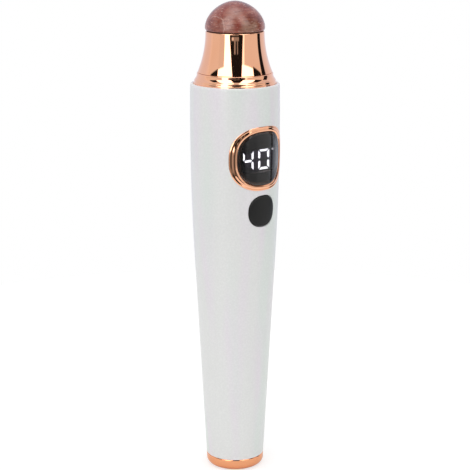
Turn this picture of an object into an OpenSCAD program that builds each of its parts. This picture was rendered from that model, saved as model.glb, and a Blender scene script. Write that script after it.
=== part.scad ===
// Heated eye massager wand: a tapered handle shell with a display and one button,
// a bright metal collar and foot, and a warmed stone dome on a vibrating head.
// Millimetres. +Z runs up the wand, the origin is the centre of its flat foot,
// and the display and button face -Y.

/* [Handle shell] */
// Length of the handle shell, from the end cap to the collar
body_len = 112.8; // [108:0.2:140]
// Diameter of the shell at its widest
body_d = 26; // [23:0.5:32]
// Diameter of the shell at its foot
foot_d = 17.2; // [16.8:0.2:20]
// Length of the straight taper that rises from the foot
taper_len = 62.4; // [40:0.2:80]
// Distance of the widest place below the top rim
wide_below = 11.6; // [6:0.2:20]
// Wall of the shell
wall = 1.6; // [1.2:0.1:2]

/* [End cap] */
// Height of the end cap that shows
cap_h = 3.6; // [3:0.1:6]
// Radius of the rounding round the foot
cap_round = 2; // [1:0.1:2.4]
// Depth of the cap's skirt inside the shell
skirt_h = 4.8; // [4:0.2:7]
// Width of the charging socket
usb_w = 8.94; // [8.94:0.01:9.2]
// Thickness of the charging socket
usb_t = 3.26; // [3.26:0.01:3.5]

/* [Display] */
// Distance of the display's centre below the top rim
display_below = 20.3; // [18.5:0.1:24]
// Width of the bezel
bezel_w = 19.1; // [18:0.1:20]
// Height of the bezel
bezel_h = 18.5; // [17.8:0.1:19]
// Width and height of the lens
lens_size = 15.4; // [14:0.1:15.6]
// How far the bezel's crest stands out of the shell
bezel_proud = 0.3; // [0.25:0.05:0.9]
// Thickness of the smoked lens
lens_t = 1.2; // [0.8:0.1:1.4]
// Depth of the lit digits below the shell's surface
digit_depth = 3.05; // [3:0.05:3.6]
// Height of a digit
digit_h = 5.8; // [4.6:0.1:6]
// Width of a digit
digit_w = 3.8; // [3:0.1:4.2]

/* [Button] */
// Distance between the display's centre and the button's centre
button_below = 15.4; // [15.2:0.1:18]
// Width and height of the button
button_size = 9; // [8:0.1:10]
// How far the button stands out of the shell
button_proud = 0.25; // [0.1:0.05:0.6]
// Travel of the button
button_travel = 0.3; // [0.2:0.05:0.35]

/* [Head] */
// Height of the collar and its trim ring above the shell
collar_h = 14.8; // [13.5:0.1:18]
// Diameter of the collar at its top
collar_top_d = 16.9; // [16:0.1:18]
// Diameter of the collar where it meets the trim ring
collar_low_d = 21.6; // [20.8:0.1:22]
// Height of the trim ring above the shell
trim_h = 3.1; // [3:0.1:4]
// Diameter of the trim ring's flange
trim_d = 24; // [23.2:0.1:24.2]
// Wall of the collar
collar_wall = 1.3; // [1:0.1:1.4]
// Diameter of the stone dome
stone_d = 17.2; // [16.6:0.1:19]
// Height of the stone's dome above its widest place
dome_h = 7.5; // [6:0.1:12]
// Height of the rounded edge under the stone's widest place
stone_edge = 0.8; // [0.5:0.1:1.2]

/* [Battery and motor] */
// Diameter of the battery cell
cell_d = 10; // [8:0.5:10]
// Length of the battery cell
cell_len = 44; // [30:0.5:44]
// Diameter of the vibration motor
motor_d = 7; // [6:0.1:7.2]
// Length of the vibration motor's can
motor_len = 12; // [8:0.1:12.4]

/* [Hidden] */
$fn = 48;

// Clearances
gap = 0.1; // between fixed pieces that fit in each other
seat_gap = 0.03; // glue between curved faces that rest on each other
slide_gap = 0.15; // round the button, which slides
run_gap = 0.05; // round the motor's shaft
cut = 0.02; // overshoot of a cut past the face that it opens
far = 60; // reach of a cut that runs out of the part

// Heights
top = cap_h + body_len; // the shell's top rim
display_z = top - display_below;
button_z = display_z - button_below;
collar_top = top + collar_h;
gasket_t = 0.3;
stone_z = collar_top + gasket_t; // underside of the stone's edge

// The handle's outline: a straight taper that runs into a shallow crown
body_r = body_d / 2;
foot_r = foot_d / 2;
wide_z = body_len - wide_below;
crown = (wide_z * wide_z - taper_len * taper_len) / 2 / (body_r - foot_r);
taper = (wide_z - taper_len) / crown;
function shell_r(z) =
    let (h = z - cap_h)
    h < taper_len ? foot_r + taper * h : body_r - pow(wide_z - h, 2) / 2 / crown;
function inner_r(z) = shell_r(z) - wall;

rim_round = 0.5; // rounding of the shell's top rim
seat_depth = 0.8; // recess in the rim that takes the trim ring
trim_r = trim_d / 2;
outline_steps = 14; // straight stretches that draw the crown
crown_z = [for (i = [0 : outline_steps])
    cap_h + taper_len + (body_len - taper_len) * i / outline_steps];

// The display and its board, as depths along -Y from the wand's axis
display_r = shell_r(display_z);
digit_y = display_r - digit_depth; // the module's face
module_t = 3.2;
module_w = 11.2;
module_h = 6.6;
digit_dz = -0.75; // the digits sit below the middle of the lens
digit_pitch = 5.6;
digit_x = -3.45; // middle of the first digit
segment_t = 0.1;
segment_w = 0.62;
segment_gap = 0.3;
degree_r = 0.3;
degree_x = 5.25;
board_t = 1;
board_y = digit_y - module_t; // the board's front face
board_back = board_y - board_t;
board_low = button_z - 8.5;
board_high = display_z + 10.3;
lens_proud = 0.1;
lens_power = 2.6; // how square the outlines are: 2 is an ellipse
button_power = 2.35;
tube_t = 0.7; // wall of the bezel's tube, which passes through the shell
step_w = 0.35; // width of the bezel's outer steps
lens_inner = lens_proud - lens_t;
ledge_w = 0.7; // ledge inside the bezel that the lens rests on
ledge_t = 0.35;

// The board's carrier, a C-shaped tube inside the shell
carrier_low = board_low - 1.5;
carrier_high = board_high + 1.5;
carrier_r = inner_r(carrier_low) - 0.3;
carrier_t = 1.2;
board_w = 2 * sqrt(pow(carrier_r, 2) - pow(board_back, 2)) - 0.6;
boss_r = 1.7;
boss_x = board_w / 2 - 2;
boss_z = [board_low + 3, board_high - 2.8];
boss_len = 6;
screw_r = 0.8;
screw_head_r = 1.4;
screw_head_h = 0.8;
screw_len = 5;

// The button and the switch behind it, as depths along -Y
button_r = shell_r(button_z);
switch_w = 4.6;
switch_h = 2.9;
plunger_r = 1.25;
plunger_tip = board_y + 3.8;
plunger_foot = board_y + 1.6;
dome_h_switch = 0.3;
dome_y = plunger_foot - button_travel - 0.05 - dome_h_switch;
flange_w = 0.8; // flange round the cap, which keeps it in the shell
flange_t = 0.8;
cap_wall = 1.2;
roof_t = 1.4;
post_r = 1.3;

// The charging end
flat_r = foot_r - cap_round;
skirt_top = cap_h + skirt_h;
skirt_r = inner_r(cap_h) - gap;
socket_low = 0.4;
socket_wall = 0.3;
charge_board_t = 1;
charge_chip_h = 1;

// The battery
cell_r = cell_d / 2;
pad_t = 0.8;
plate_t = 1.4;
holder_t = 1.2;
holder_low = skirt_top + charge_board_t + charge_chip_h + 1.6;
cell_low = holder_low + plate_t + pad_t;
cell_high = cell_low + cell_len;
holder_high = cell_high + pad_t + plate_t;
holder_r = cell_r + 0.15;
lead_slot = 3.6; // half the width of the way past the cell for the leads

// The head, as heights above the shell's rim
core_low = -6;
core_disc = [-2.4, -0.9]; // lowest and highest face of the disc under the trim ring
flange_top = 2.2; // the collar's bosses stand on this face
core_r = 6.2;
core_top = collar_h - 3.6;
skirt_core_r = inner_r(top) - gap;
skirt_core_t = 1.25;
core_flange_r = 9.1;
trim_bore_r = core_flange_r + 0.2;
collar_top_r = collar_top_d / 2;
collar_low_r = collar_low_d / 2;
flare_h = collar_h - trim_h;
flare = (pow(flare_h, 2) + pow(collar_low_r - collar_top_r, 2)) / 2 / (collar_low_r - collar_top_r);
function collar_r(h) = collar_top_r + flare - sqrt(pow(flare, 2) - pow(collar_h - h, 2));
head_boss_at = 7.75;
head_boss_r = 1.35;
head_boss_h = 5.6;
head_screw_len = 5;
head_screw_turns = [30, 150, 270];
pad_h = 1;
heater_t = 0.2;
spreader_t = 0.8;
spigot_r = collar_top_r - collar_wall - 0.35;
spigot_low = collar_h - 1.6; // underside of the stone's spigot
lead_way = 4.7; // the core is cut away beyond this on +Y for the leads

// The motor, as heights above the shell's rim
motor_r = motor_d / 2;
sleeve_t = 0.8;
sleeve_r = motor_r + sleeve_t;
motor_low = -7.2;
motor_high = motor_low + motor_len;
shaft_r = 0.5;
shaft_high = core_top - 0.9;
weight_low = motor_high + 1.5;
weight_high = shaft_high - 0.2;
weight_r = 3;
can_wall = 0.25;
magnet_r = 1.6;
coil_in = magnet_r + 0.2;
coil_out = motor_r - can_wall - 0.2;

// Leads
lead_r = 0.45;
thin_lead_r = 0.35;
lead_sides = 8;
lead_steps = 5; // rings between two points of a route

// ---- Shapes that several pieces share ----

// A rounded square whose sides bulge a little
function squircle_points(w, h, power, n = 56) = [for (i = [0 : n - 1])
    let (a = 360 * i / n, c = cos(a), s = sin(a))
    [w / 2 * sign(c) * pow(abs(c), 2 / power), h / 2 * sign(s) * pow(abs(s), 2 / power)]];

// A prism on a squircle, which runs out along -Y
module window(w, h, z, power) {
    translate([0, 0, z]) rotate([90, 0, 0]) linear_extrude(far)
        polygon(squircle_points(w, h, power));
}

// The two windows' prisms, grown all round past the lens and the button
module lens_window(grow) {
    window(lens_size + 2 * grow, lens_size + 2 * grow, display_z, lens_power);
}

module button_window(grow) {
    window(button_size + 2 * grow, button_size + 2 * grow, button_z, button_power);
}

// Everything within the shell's outer surface moved out by grow, between two heights
module shell_solid(grow, low, high) {
    levels = concat([low], [for (z = crown_z) if (z > low && z < high) z], [high]);
    rotate_extrude() polygon(concat(
        [[0, low]], [for (z = levels) [shell_r(z) + grow, z]], [[0, high]]));
}

// The layer between two offsets of the shell's surface near the height z, inside a window
module shell_layer(inner, outer, z) {
    reach = bezel_h / 2 + 1;
    intersection() {
        children();
        difference() {
            shell_solid(outer, z - reach, z + reach);
            shell_solid(inner, z - reach - 1, z + reach + 1);
        }
    }
}

// A cylinder along -Y, from one depth to a greater one
module peg(r, from, to, x = 0, z = 0) {
    translate([x, -from, z]) rotate([90, 0, 0]) cylinder(r = r, h = to - from);
}

// A box given by its middle in X and Z, its two depths along -Y and its sizes
module slab(x, z, w, h, from, to) {
    translate([x - w / 2, -to, z - h / 2]) cube([w, to - from, h]);
}

module ring(outer, inner, low, high) {
    difference() {
        translate([0, 0, low]) cylinder(r = outer, h = high - low);
        translate([0, 0, low - 1]) cylinder(r = inner, h = high - low + 2);
    }
}

module disc(r, low, high) {
    translate([0, 0, low]) cylinder(r = r, h = high - low);
}

// A screw along -Z whose head's underside is at the origin
module screw(length) {
    difference() {
        union() {
            cylinder(r = screw_head_r, h = screw_head_h);
            translate([0, 0, -length]) cylinder(r = screw_r, h = length + cut);
        }
        translate([0, 0, screw_head_h - 0.45]) for (a = [0, 90])
            rotate([0, 0, a]) translate([-0.9, -0.18, 0]) cube([1.8, 0.36, 1]);
    }
}

// ---- Leads: round tubes swept along a smooth curve through chosen points ----

function unit(v) = v / norm(v);
function spline_point(a, b, c, d, t) = 0.5 * (2 * b + (c - a) * t
    + (2 * a - 5 * b + 4 * c - d) * t * t + (3 * b - a - 3 * c + d) * t * t * t);
function spline(p) = let (last = len(p) - 1) concat(
    [for (i = [0 : last - 1], k = [0 : lead_steps - 1])
        spline_point(p[max(i - 1, 0)], p[i], p[i + 1], p[min(i + 2, last)], k / lead_steps)],
    [p[last]]);
function tangent(p, i) = unit(p[min(i + 1, len(p) - 1)] - p[max(i - 1, 0)]);

module lead(points, r) {
    path = spline(points);
    n = lead_sides;
    count = len(path);
    rings = [for (i = [0 : count - 1])
        let (t = tangent(path, i), u = unit(cross(t, [1, 0, 0])), v = cross(t, u))
        for (k = [0 : n - 1]) path[i] + r * (cos(360 * k / n) * u + sin(360 * k / n) * v)];
    sides = [for (i = [0 : count - 2], k = [0 : n - 1])
        let (a = i * n + k, b = i * n + (k + 1) % n)
        each [[a, b, b + n], [a, b + n, a + n]]];
    ends = [[for (k = [n - 1 : -1 : 0]) k], [for (k = [0 : n - 1]) (count - 1) * n + k]];
    polyhedron(rings, concat([for (f = sides) [f[2], f[1], f[0]]],
        [for (f = ends) [for (k = [n - 1 : -1 : 0]) f[k]]]));
}

// ---- Handle ----

module handle_shell() {
    rim_r = shell_r(top);
    levels = concat([cap_h], [for (z = crown_z) if (z < top - rim_round) z]);
    rounding = [for (a = [0 : 15 : 90])
        [rim_r - rim_round + rim_round * cos(a), top - rim_round + rim_round * sin(a)]];
    outer = concat([for (z = levels) [shell_r(z), z]], rounding);
    inner = concat([[trim_r + gap / 2, top], [trim_r + gap / 2, top - seat_depth]],
        [[inner_r(top), top - seat_depth]],
        [for (i = [len(levels) - 1 : -1 : 0]) [inner_r(levels[i]), levels[i]]]);
    color("white") difference() {
        rotate_extrude() polygon(concat(outer, inner));
        lens_window(tube_t + gap);
        button_window(slide_gap);
    }
}

module end_cap() {
    seam = 0.2;
    rounding = [for (a = [0 : 15 : 90])
        [flat_r + cap_round * sin(a), cap_round - cap_round * cos(a)]];
    color([0.85, 0.58, 0.45]) difference() {
        union() {
            rotate_extrude() polygon(concat([[0, 0]], rounding,
                [[foot_r, cap_h - seam], [foot_r - seam, cap_h], [0, cap_h]]));
            disc(skirt_r, cap_h - 1, skirt_top);
        }
        socket_outline(gap, -1, skirt_top + 1);
        // the skirt is hollow on both sides of the socket
        for (s = [-1, 1]) intersection() {
            disc(skirt_r - 1.1, cap_h, skirt_top + 1);
            translate([-far / 2, s > 0 ? usb_t / 2 + 1 : -far - usb_t / 2 - 1, 0]) cube(far);
        }
    }
}

// The socket's outline, a slot with round ends
module socket_outline(grow, low, high) {
    r = usb_t / 2 + grow;
    half = (usb_w - usb_t) / 2;
    translate([0, 0, low]) linear_extrude(high - low) {
        for (s = [-1, 1]) translate([s * half, 0]) circle(r);
        translate([-half, -r]) square([2 * half, 2 * r]);
    }
}

module usb_socket() {
    color("silver") difference() {
        socket_outline(0, socket_low, skirt_top);
        socket_outline(-socket_wall, socket_low - 1, skirt_top - 1);
    }
}

module usb_tongue() {
    color("black") {
        translate([-3.34, -0.35, socket_low + 0.9]) cube([6.68, 0.7, skirt_top - 2 - socket_low]);
        socket_outline(-socket_wall - 0.05, skirt_top - 2.2, skirt_top - 1);
    }
}

module charge_board() {
    color("green") disc(skirt_r - 0.3, skirt_top, skirt_top + charge_board_t);
}

module charge_chip() {
    low = skirt_top + charge_board_t;
    color("black") translate([-1.5, -0.2, low]) cube([3, 3, charge_chip_h]);
}

// ---- Battery ----

// The leads pass the cell on its -Y side
module lead_way_past_cell(low, high) {
    translate([-lead_slot, -far - cell_r + 0.6, low]) cube([2 * lead_slot, far, high - low]);
}

module battery_holder() {
    color("dimgray") difference() {
        union() {
            disc(inner_r(holder_low) - 0.3, holder_low, holder_low + plate_t);
            disc(inner_r(holder_high - plate_t) - 0.3, holder_high - plate_t, holder_high);
            rotate([0, 0, -25]) rotate_extrude(angle = 230)
                translate([holder_r, holder_low]) square([holder_t, holder_high - holder_low]);
        }
        disc(holder_r, holder_low + plate_t, holder_high - plate_t);
        disc(1.6, holder_high - plate_t - 1, holder_high + 1);
        lead_way_past_cell(holder_low - 1, holder_high + 1);
    }
}

module battery_cell() {
    button_r = 1.6;
    color([0.2, 0.45, 0.75]) rotate_extrude() polygon([
        [0, cell_low], [cell_r - 0.4, cell_low], [cell_r, cell_low + 0.4],
        [cell_r, cell_high - 0.9], [cell_r - 0.4, cell_high - 0.5],
        [button_r, cell_high - 0.5], [button_r, cell_high], [0, cell_high]]);
}

module battery_pads() {
    color("darkslategray") {
        disc(cell_r - 0.3, holder_low + plate_t, cell_low);
        ring(cell_r - 0.3, 1.7, cell_high, cell_high + pad_t);
    }
}

// ---- Boards ----

module board_carrier() {
    color("gainsboro") difference() {
        intersection() {
            union() {
                ring(carrier_r, carrier_r - carrier_t, carrier_low, carrier_high);
                for (s = [-1, 1], z = boss_z) {
                    peg(boss_r, board_back - boss_len, board_back + 1, s * boss_x, z);
                    intersection() {
                        slab(s * (boss_x + 2), z, 4, 1.6, board_back - boss_len + 1, board_back + 1);
                        disc(carrier_r - 0.3, 0, far * 4);
                    }
                }
            }
            translate([-far / 2, -board_back, 0]) cube([far, far, far * 4]);
        }
        for (s = [-1, 1], z = boss_z)
            peg(screw_r + gap / 2, board_back - screw_len - 0.5, board_back + 1, s * boss_x, z);
    }
}

module main_board() {
    color("darkgreen") difference() {
        slab(0, (board_low + board_high) / 2, board_w, board_high - board_low, board_back, board_y);
        for (s = [-1, 1], z = boss_z) peg(screw_r + gap, board_back - 1, board_y + 1, s * boss_x, z);
    }
}

module board_screws() {
    color("silver") for (s = [-1, 1], z = boss_z)
        translate([s * boss_x, -board_y, z]) rotate([90, 0, 0]) screw(screw_len);
}

module control_chip() {
    color("black") slab(0, display_z - 2, 6, 6, board_back - 1.2, board_back);
}

// Small square parts soldered to the back and front of the board
module board_chips() {
    color("tan") {
        for (i = [0 : 3]) slab(-4.5 + 3 * i, display_z - 8.5, 1.6, 0.9, board_back - 0.6, board_back);
        for (i = [0 : 2]) slab(4.6, button_z - 3 + 3 * i, 0.9, 1.6, board_back - 0.6, board_back);
        for (s = [-1, 1]) slab(s * 4.4, button_z + 4.5, 1.6, 0.9, board_y, board_y + 0.6);
    }
}

// ---- Display ----

module led_module() {
    color("black") slab(0, display_z + digit_dz, module_w, module_h, board_y, digit_y);
}

// The bars a to g of one digit: those named in on. A bar is its letter, its outline as steps along
// it and out from the digit, its origin, and the directions along and out.
module digit(place, on) {
    wide = (digit_w - segment_w) / 2;
    high = (digit_h - segment_w) / 2;
    w = segment_w / 2;
    g = segment_gap;
    upright = [[g, 0], [g + w, w], [high + w - g, w], [high - w - g, -w], [g + w, -w]];
    level = [[g - wide - w, w], [wide + w - g, w], [wide - w - g, -w], [w + g - wide, -w]];
    middle = [[g - wide, 0], [g + w - wide, w], [wide - w - g, w], [wide - g, 0],
        [wide - w - g, -w], [g + w - wide, -w]];
    bars = [["a", level, [0, high], [1, 0], [0, 1]], ["b", upright, [wide, 0], [0, 1], [1, 0]],
        ["c", upright, [wide, 0], [0, -1], [1, 0]], ["d", level, [0, -high], [1, 0], [0, -1]],
        ["e", upright, [-wide, 0], [0, -1], [-1, 0]], ["f", upright, [-wide, 0], [0, 1], [-1, 0]],
        ["g", middle, [0, 0], [1, 0], [0, 1]]];
    translate([digit_x + place * digit_pitch, -digit_y, display_z + digit_dz]) rotate([90, 0, 0])
        for (b = bars) if (len(search(b[0], on)) > 0) linear_extrude(segment_t)
            polygon([for (p = b[1]) b[2] + p[0] * b[3] + p[1] * b[4]]);
}

// The readout stands at 40
module lit_segments() {
    color("white") {
        digit(0, "bcfg");
        digit(1, "abcdef");
    }
}

module dark_segments() {
    color("dimgray") {
        digit(0, "ade");
        digit(1, "g");
    }
}

module degree_mark() {
    z = display_z + digit_dz + digit_h / 2 - degree_r;
    color("white") difference() {
        peg(degree_r, digit_y, digit_y + segment_t, degree_x, z);
        peg(degree_r - 0.16, digit_y - 1, digit_y + 1, degree_x, z);
    }
}

// A foam frame round the module, up to the lens, that keeps its light off the shell
module light_gasket() {
    frame_t = 1.6;
    color("dimgray") difference() {
        shell_layer(lens_inner - frame_t, lens_inner - seat_gap, display_z)
            lens_window(-ledge_w - gap);
        slab(0, display_z + digit_dz, module_w + gap, module_h + gap, 0, far);
    }
}

module display_lens() {
    color([0.1, 0.1, 0.12]) shell_layer(lens_inner, lens_proud, display_z) lens_window(-gap / 2);
}

// A band of three steps on the shell, and the tube that passes through it with the lens's ledge
module display_bezel() {
    color([0.85, 0.58, 0.45]) difference() {
        union() {
            shell_layer(seat_gap, bezel_proud * 0.5, display_z)
                window(bezel_w, bezel_h, display_z, lens_power);
            shell_layer(seat_gap, bezel_proud * 0.85, display_z)
                window(bezel_w - 2 * step_w, bezel_h - 2 * step_w, display_z, lens_power);
            shell_layer(seat_gap, bezel_proud, display_z)
                window(bezel_w - 4 * step_w, bezel_h - 4 * step_w, display_z, lens_power);
            shell_layer(lens_inner - seat_gap - ledge_t, bezel_proud * 0.5, display_z)
                lens_window(tube_t);
        }
        lens_window(-ledge_w);
        shell_layer(lens_inner - seat_gap, far / 10, display_z) lens_window(0);
        // the inner edge slopes down to the lens
        shell_layer(bezel_proud * 0.6, far / 10, display_z) lens_window(0.3);
    }
}

// ---- Button and switch ----

module button_cap() {
    flange_out = -wall - gap;
    color("dimgray") difference() {
        union() {
            shell_layer(flange_out - flange_t, button_proud, button_z) button_window(0);
            shell_layer(flange_out - flange_t, flange_out, button_z) button_window(flange_w);
        }
        difference() {
            intersection() {
                button_window(-cap_wall);
                shell_solid(button_proud - roof_t, button_z - button_size, button_z + button_size);
            }
            peg(post_r, plunger_tip + cut, far / 2, 0, button_z);
        }
    }
}

module switch_body() {
    color("black") difference() {
        slab(0, button_z, switch_w, switch_w, board_y, board_y + switch_h);
        peg(plunger_r + gap, dome_y, board_y + switch_h + 1, 0, button_z);
        peg(1.9, dome_y, plunger_foot + 0.3, 0, button_z);
    }
}

module switch_plunger() {
    color("firebrick") {
        peg(plunger_r, plunger_foot, plunger_tip, 0, button_z);
        peg(1.7, plunger_foot, plunger_foot + 0.25, 0, button_z);
    }
}

module switch_dome() {
    color("silver") translate([0, -dome_y, button_z]) rotate([90, 0, 0])
        cylinder(r1 = 1.8, r2 = 1, h = dome_h_switch);
}

// ---- Head ----

// The way for the heater's and thermistor's leads, on the +Y side
module lead_way_past_core(low, high) {
    translate([-2, lead_way, low]) cube([4, far, high - low]);
}

module at_head_screws() {
    for (a = head_screw_turns) rotate([0, 0, a]) translate([head_boss_at, 0, 0]) children();
}

module head_core() {
    color("gainsboro") translate([0, 0, top]) difference() {
        union() {
            disc(core_r, core_disc[0], core_top);
            disc(sleeve_r + 1.2, core_low, core_disc[0] + 1);
            disc(skirt_core_r, core_disc[0], core_disc[1]);
            disc(core_flange_r, core_disc[0], flange_top);
            ring(skirt_core_r, skirt_core_r - skirt_core_t, core_low, core_disc[0] + 0.5);
        }
        disc(sleeve_r + gap, core_low - 1, motor_high + 0.6);
        disc(weight_r + 0.8, motor_high, shaft_high + 0.2);
        at_head_screws() {
            disc(screw_head_r + 0.3, core_disc[0] - 1, flange_top - 1.3);
            disc(screw_r + gap, core_disc[0], flange_top + 1);
        }
        lead_way_past_core(core_low - 1, core_top + 1);
    }
}

module head_screws() {
    color("silver") translate([0, 0, top]) at_head_screws()
        translate([0, 0, flange_top - 1.3]) rotate([180, 0, 0]) screw(head_screw_len);
}

// Two coved steps on a thin flange, as steps in from the flange's edge and up
module trim_ring() {
    steps = [[0, 0.1], [0.05, 0.22], [0.15, 0.28], [0.3, 0.32], [0.4, 0.4], [0.48, 0.55], [0.53, 0.8],
        [0.55, 1.2], [0.57, 1.38], [0.62, 1.5], [0.7, 1.58], [0.78, 1.68], [0.86, 1.85],
        [0.92, 2.15], [0.95, 2.5], [0.96, 2.7], [1, 2.82], [1.07, 2.88], [1.14, 2.92]];
    band = concat([[trim_bore_r, -seat_depth], [trim_r, -seat_depth]],
        [for (p = steps) [trim_r - p[0], p[1] * trim_h / 3.1]],
        [[collar_low_r + 0.03, trim_h - 0.05], [collar_low_r - 0.15, trim_h], [trim_bore_r, trim_h]]);
    color([0.85, 0.58, 0.45]) translate([0, 0, top]) rotate_extrude() polygon(band);
}

module collar() {
    steps = 18;
    levels = [for (i = [0 : steps]) trim_h + 0.15 + (flare_h - 0.4) * i / steps];
    outer = concat([[collar_r(trim_h) - 0.15, trim_h]], [for (h = levels) [collar_r(h), h]],
        [[collar_top_r - 0.07, collar_h - 0.07], [collar_top_r - 0.25, collar_h]]);
    inner = concat([[collar_top_r - collar_wall, collar_h]],
        [for (i = [steps : -1 : 0]) [collar_r(levels[i]) - collar_wall, levels[i]]],
        [[collar_r(trim_h) - collar_wall, trim_h]]);
    color([0.85, 0.58, 0.45]) translate([0, 0, top]) difference() {
        union() {
            rotate_extrude() polygon(concat(outer, inner));
            intersection() {
                at_head_screws() disc(head_boss_r, flange_top, flange_top + head_boss_h);
                rotate_extrude() polygon(concat([[0, 0]], [for (h = [flange_top, trim_h])
                    [trim_bore_r - 0.1, h]], [for (h = levels) [collar_r(h) - 0.3, h]], [[0, collar_h]]));
            }
        }
        at_head_screws() disc(screw_r + gap / 2, flange_top - 1, flange_top + head_screw_len - 1);
    }
}

module stone_gasket() {
    color("black") translate([0, 0, top])
        ring(collar_top_r - 0.3, collar_top_r - collar_wall, collar_h, collar_h + gasket_t);
}

// A dome a little more pointed than half a ball, with a spigot under it
module stone_head() {
    stone_r = stone_d / 2;
    power = 1.8;
    widest = stone_edge;
    dome = [for (a = [0 : 4.5 : 90])
        [stone_r * pow(cos(a), 2 / power), widest + dome_h * pow(sin(a), 2 / power)]];
    edge = [for (a = [0 : 15 : 75])
        [stone_r - stone_edge * 0.5 * (1 - sin(a)), widest * (1 - cos(a))]];
    drop = stone_z - top - spigot_low;
    color([0.55, 0.3, 0.26]) translate([0, 0, stone_z]) rotate_extrude() polygon(concat(
        [[0, -drop], [spigot_r, -drop], [spigot_r, 0]], edge,
        [for (p = dome) if (p[0] > 0.001) p], [[0, widest + dome_h]]));
}

module heat_spreader() {
    color("silver") translate([0, 0, top]) disc(spigot_r - 0.1, spigot_low - spreader_t, spigot_low);
}

module heater_film() {
    high = spigot_low - spreader_t;
    color("darkorange") translate([0, 0, top]) disc(core_r, high - heater_t, high);
}

module insulation_pad() {
    color("ivory") translate([0, 0, top]) difference() {
        disc(core_r, core_top, core_top + pad_h);
        disc(0.9, core_top - 1, core_top + 2);
        translate([-1, 0, core_top - 1]) cube([2, far, 3]);
        lead_way_past_core(core_top - 1, core_top + 2);
    }
}

module thermistor() {
    color("saddlebrown") translate([0, 0, top]) disc(0.7, core_top, core_top + pad_h);
}

// ---- Motor ----

module motor_sleeve() {
    color("dimgray") translate([0, 0, top])
        ring(sleeve_r, motor_r + gap / 2, motor_low, motor_high - 0.4);
}

module motor_can() {
    color("silver") translate([0, 0, top]) difference() {
        disc(motor_r, motor_low + 0.8, motor_high);
        disc(motor_r - can_wall, motor_low, motor_high - 0.4);
        disc(shaft_r + 0.5, motor_low, motor_high + 1);
    }
}

// The plastic end that closes the can and carries the brushes
module motor_cap() {
    color("ivory") translate([0, 0, top]) {
        disc(motor_r - can_wall, motor_low, motor_low + 1.3);
    }
}

// A fixed tube magnet whose bore and top bush carry the shaft
module motor_magnet() {
    color("gray") translate([0, 0, top]) {
        ring(magnet_r, shaft_r + run_gap, motor_low + 3.4, motor_high - 0.4);
        ring(shaft_r + 0.5, shaft_r + run_gap, motor_high - 0.5, motor_high + 0.4);
    }
}

module motor_coil() {
    color("peru") translate([0, 0, top]) {
        ring(coil_out, coil_in, motor_low + 2.4, motor_high - 1);
        ring(coil_out, shaft_r, motor_low + 1.9, motor_low + 2.9);
    }
}

module motor_shaft() {
    color("silver") translate([0, 0, top]) disc(shaft_r, motor_low + 1.5, shaft_high);
}

module eccentric_weight() {
    color("dimgray") translate([0, 0, top + weight_low]) rotate([0, 0, 180]) difference() {
        union() {
            rotate_extrude(angle = 180) square([weight_r, weight_high - weight_low]);
            cylinder(r = 1.1, h = weight_high - weight_low);
        }
        translate([0, 0, -1]) cylinder(r = shaft_r, h = 10);
    }
}

// ---- Leads ----

pad_touch = board_back - lead_r - 0.03; // depth of a lead that lies on the board's back
cell_touch = cell_r + lead_r + 0.12;
solder_z = board_low + 2;

module battery_lead_red() {
    color("red") lead([[0, 0, cell_high + 0.05], [0, 0, holder_high + 1], [0.5, -1.2, holder_high + 4],
        [1, -pad_touch, board_low - 3], [1, -pad_touch, board_low - 1], [1, -pad_touch, solder_z]],
        lead_r);
}

module battery_lead_black() {
    color("black") lead([[-1, -cell_touch, cell_low + 1], [-1, -cell_touch, cell_low + 12],
        [-1, -cell_touch, cell_high - 4], [-1, -cell_touch, holder_high + 1],
        [-1, -pad_touch, board_low - 3], [-1, -pad_touch, board_low - 1],
        [-1, -pad_touch, solder_z]], lead_r);
}

// A lead from the charging board, past the cell and on to the main board
module charge_lead(x_low, x_high, side) {
    y_low = sqrt(pow(cell_touch, 2) - x_low * x_low) + 0.1;
    low = skirt_top + charge_board_t;
    lead([[side, -skirt_r + 2.4, low + 0.05], [side, -skirt_r + 2.3, low + 1.2],
        [x_low, -y_low, cell_low], [x_low, -y_low, cell_low + 14], [x_low, -y_low, cell_high - 4],
        [x_low, -y_low, holder_high + 1], [x_high, -pad_touch, board_low - 3],
        [x_high, -pad_touch, board_low - 1], [x_high, -pad_touch, solder_z]], lead_r);
}

module charge_lead_red() {
    color("red") charge_lead(1.1, 2.5, 1.2);
}

module charge_lead_black() {
    color("black") charge_lead(2.4, 3.7, 2.6);
}

lead_y = lead_way + 0.9;
head_solder = board_high - 2;

module heater_leads() {
    high = top + spigot_low - spreader_t - heater_t - 0.05;
    color("darkred") for (s = [-1, 1])
        lead([[s * 1.5, lead_y, high], [s * 1.5, lead_y, top + 4], [s * 1.5, lead_y, top - 5],
            [s * 1.7, lead_y - 1.2, board_high + 1], [s * 2.2, -1, head_solder - 0.4],
            [s * 2.4, -board_back + thin_lead_r + 1.2, head_solder - 2.6],
            [s * 2.4, -board_back + thin_lead_r + 0.03, head_solder - 4]], thin_lead_r);
}

module thermistor_leads() {
    high = top + core_top + 0.5;
    color("goldenrod") for (s = [-1, 1])
        lead([[s * 0.45, 0.95, high], [s * 0.45, 3.4, high], [s * 0.45, lead_y - 0.6, high - 0.3],
            [s * 0.5, lead_y, high - 3.4], [s * 0.5, lead_y, top - 5],
            [s * 0.5, lead_y - 1.2, board_high + 1], [s * 0.6, -1, head_solder - 0.4],
            [s * 0.7, -board_back + thin_lead_r + 1.2, head_solder - 2.6],
            [s * 0.7, -board_back + thin_lead_r + 0.03, head_solder - 4]], thin_lead_r);
}

module motor_leads() {
    color("blue") for (s = [-1, 1])
        lead([[s * 1.2, 0, top + motor_low - 0.05], [s * 1.4, -0.2, top + motor_low - 0.9],
            [s * 3.4, -1.6, board_high - 0.6], [s * 4, -board_back + thin_lead_r + 0.8, board_high - 4],
            [s * 4, -board_back + thin_lead_r + 0.03, board_high - 5.4]], thin_lead_r);
}

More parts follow.
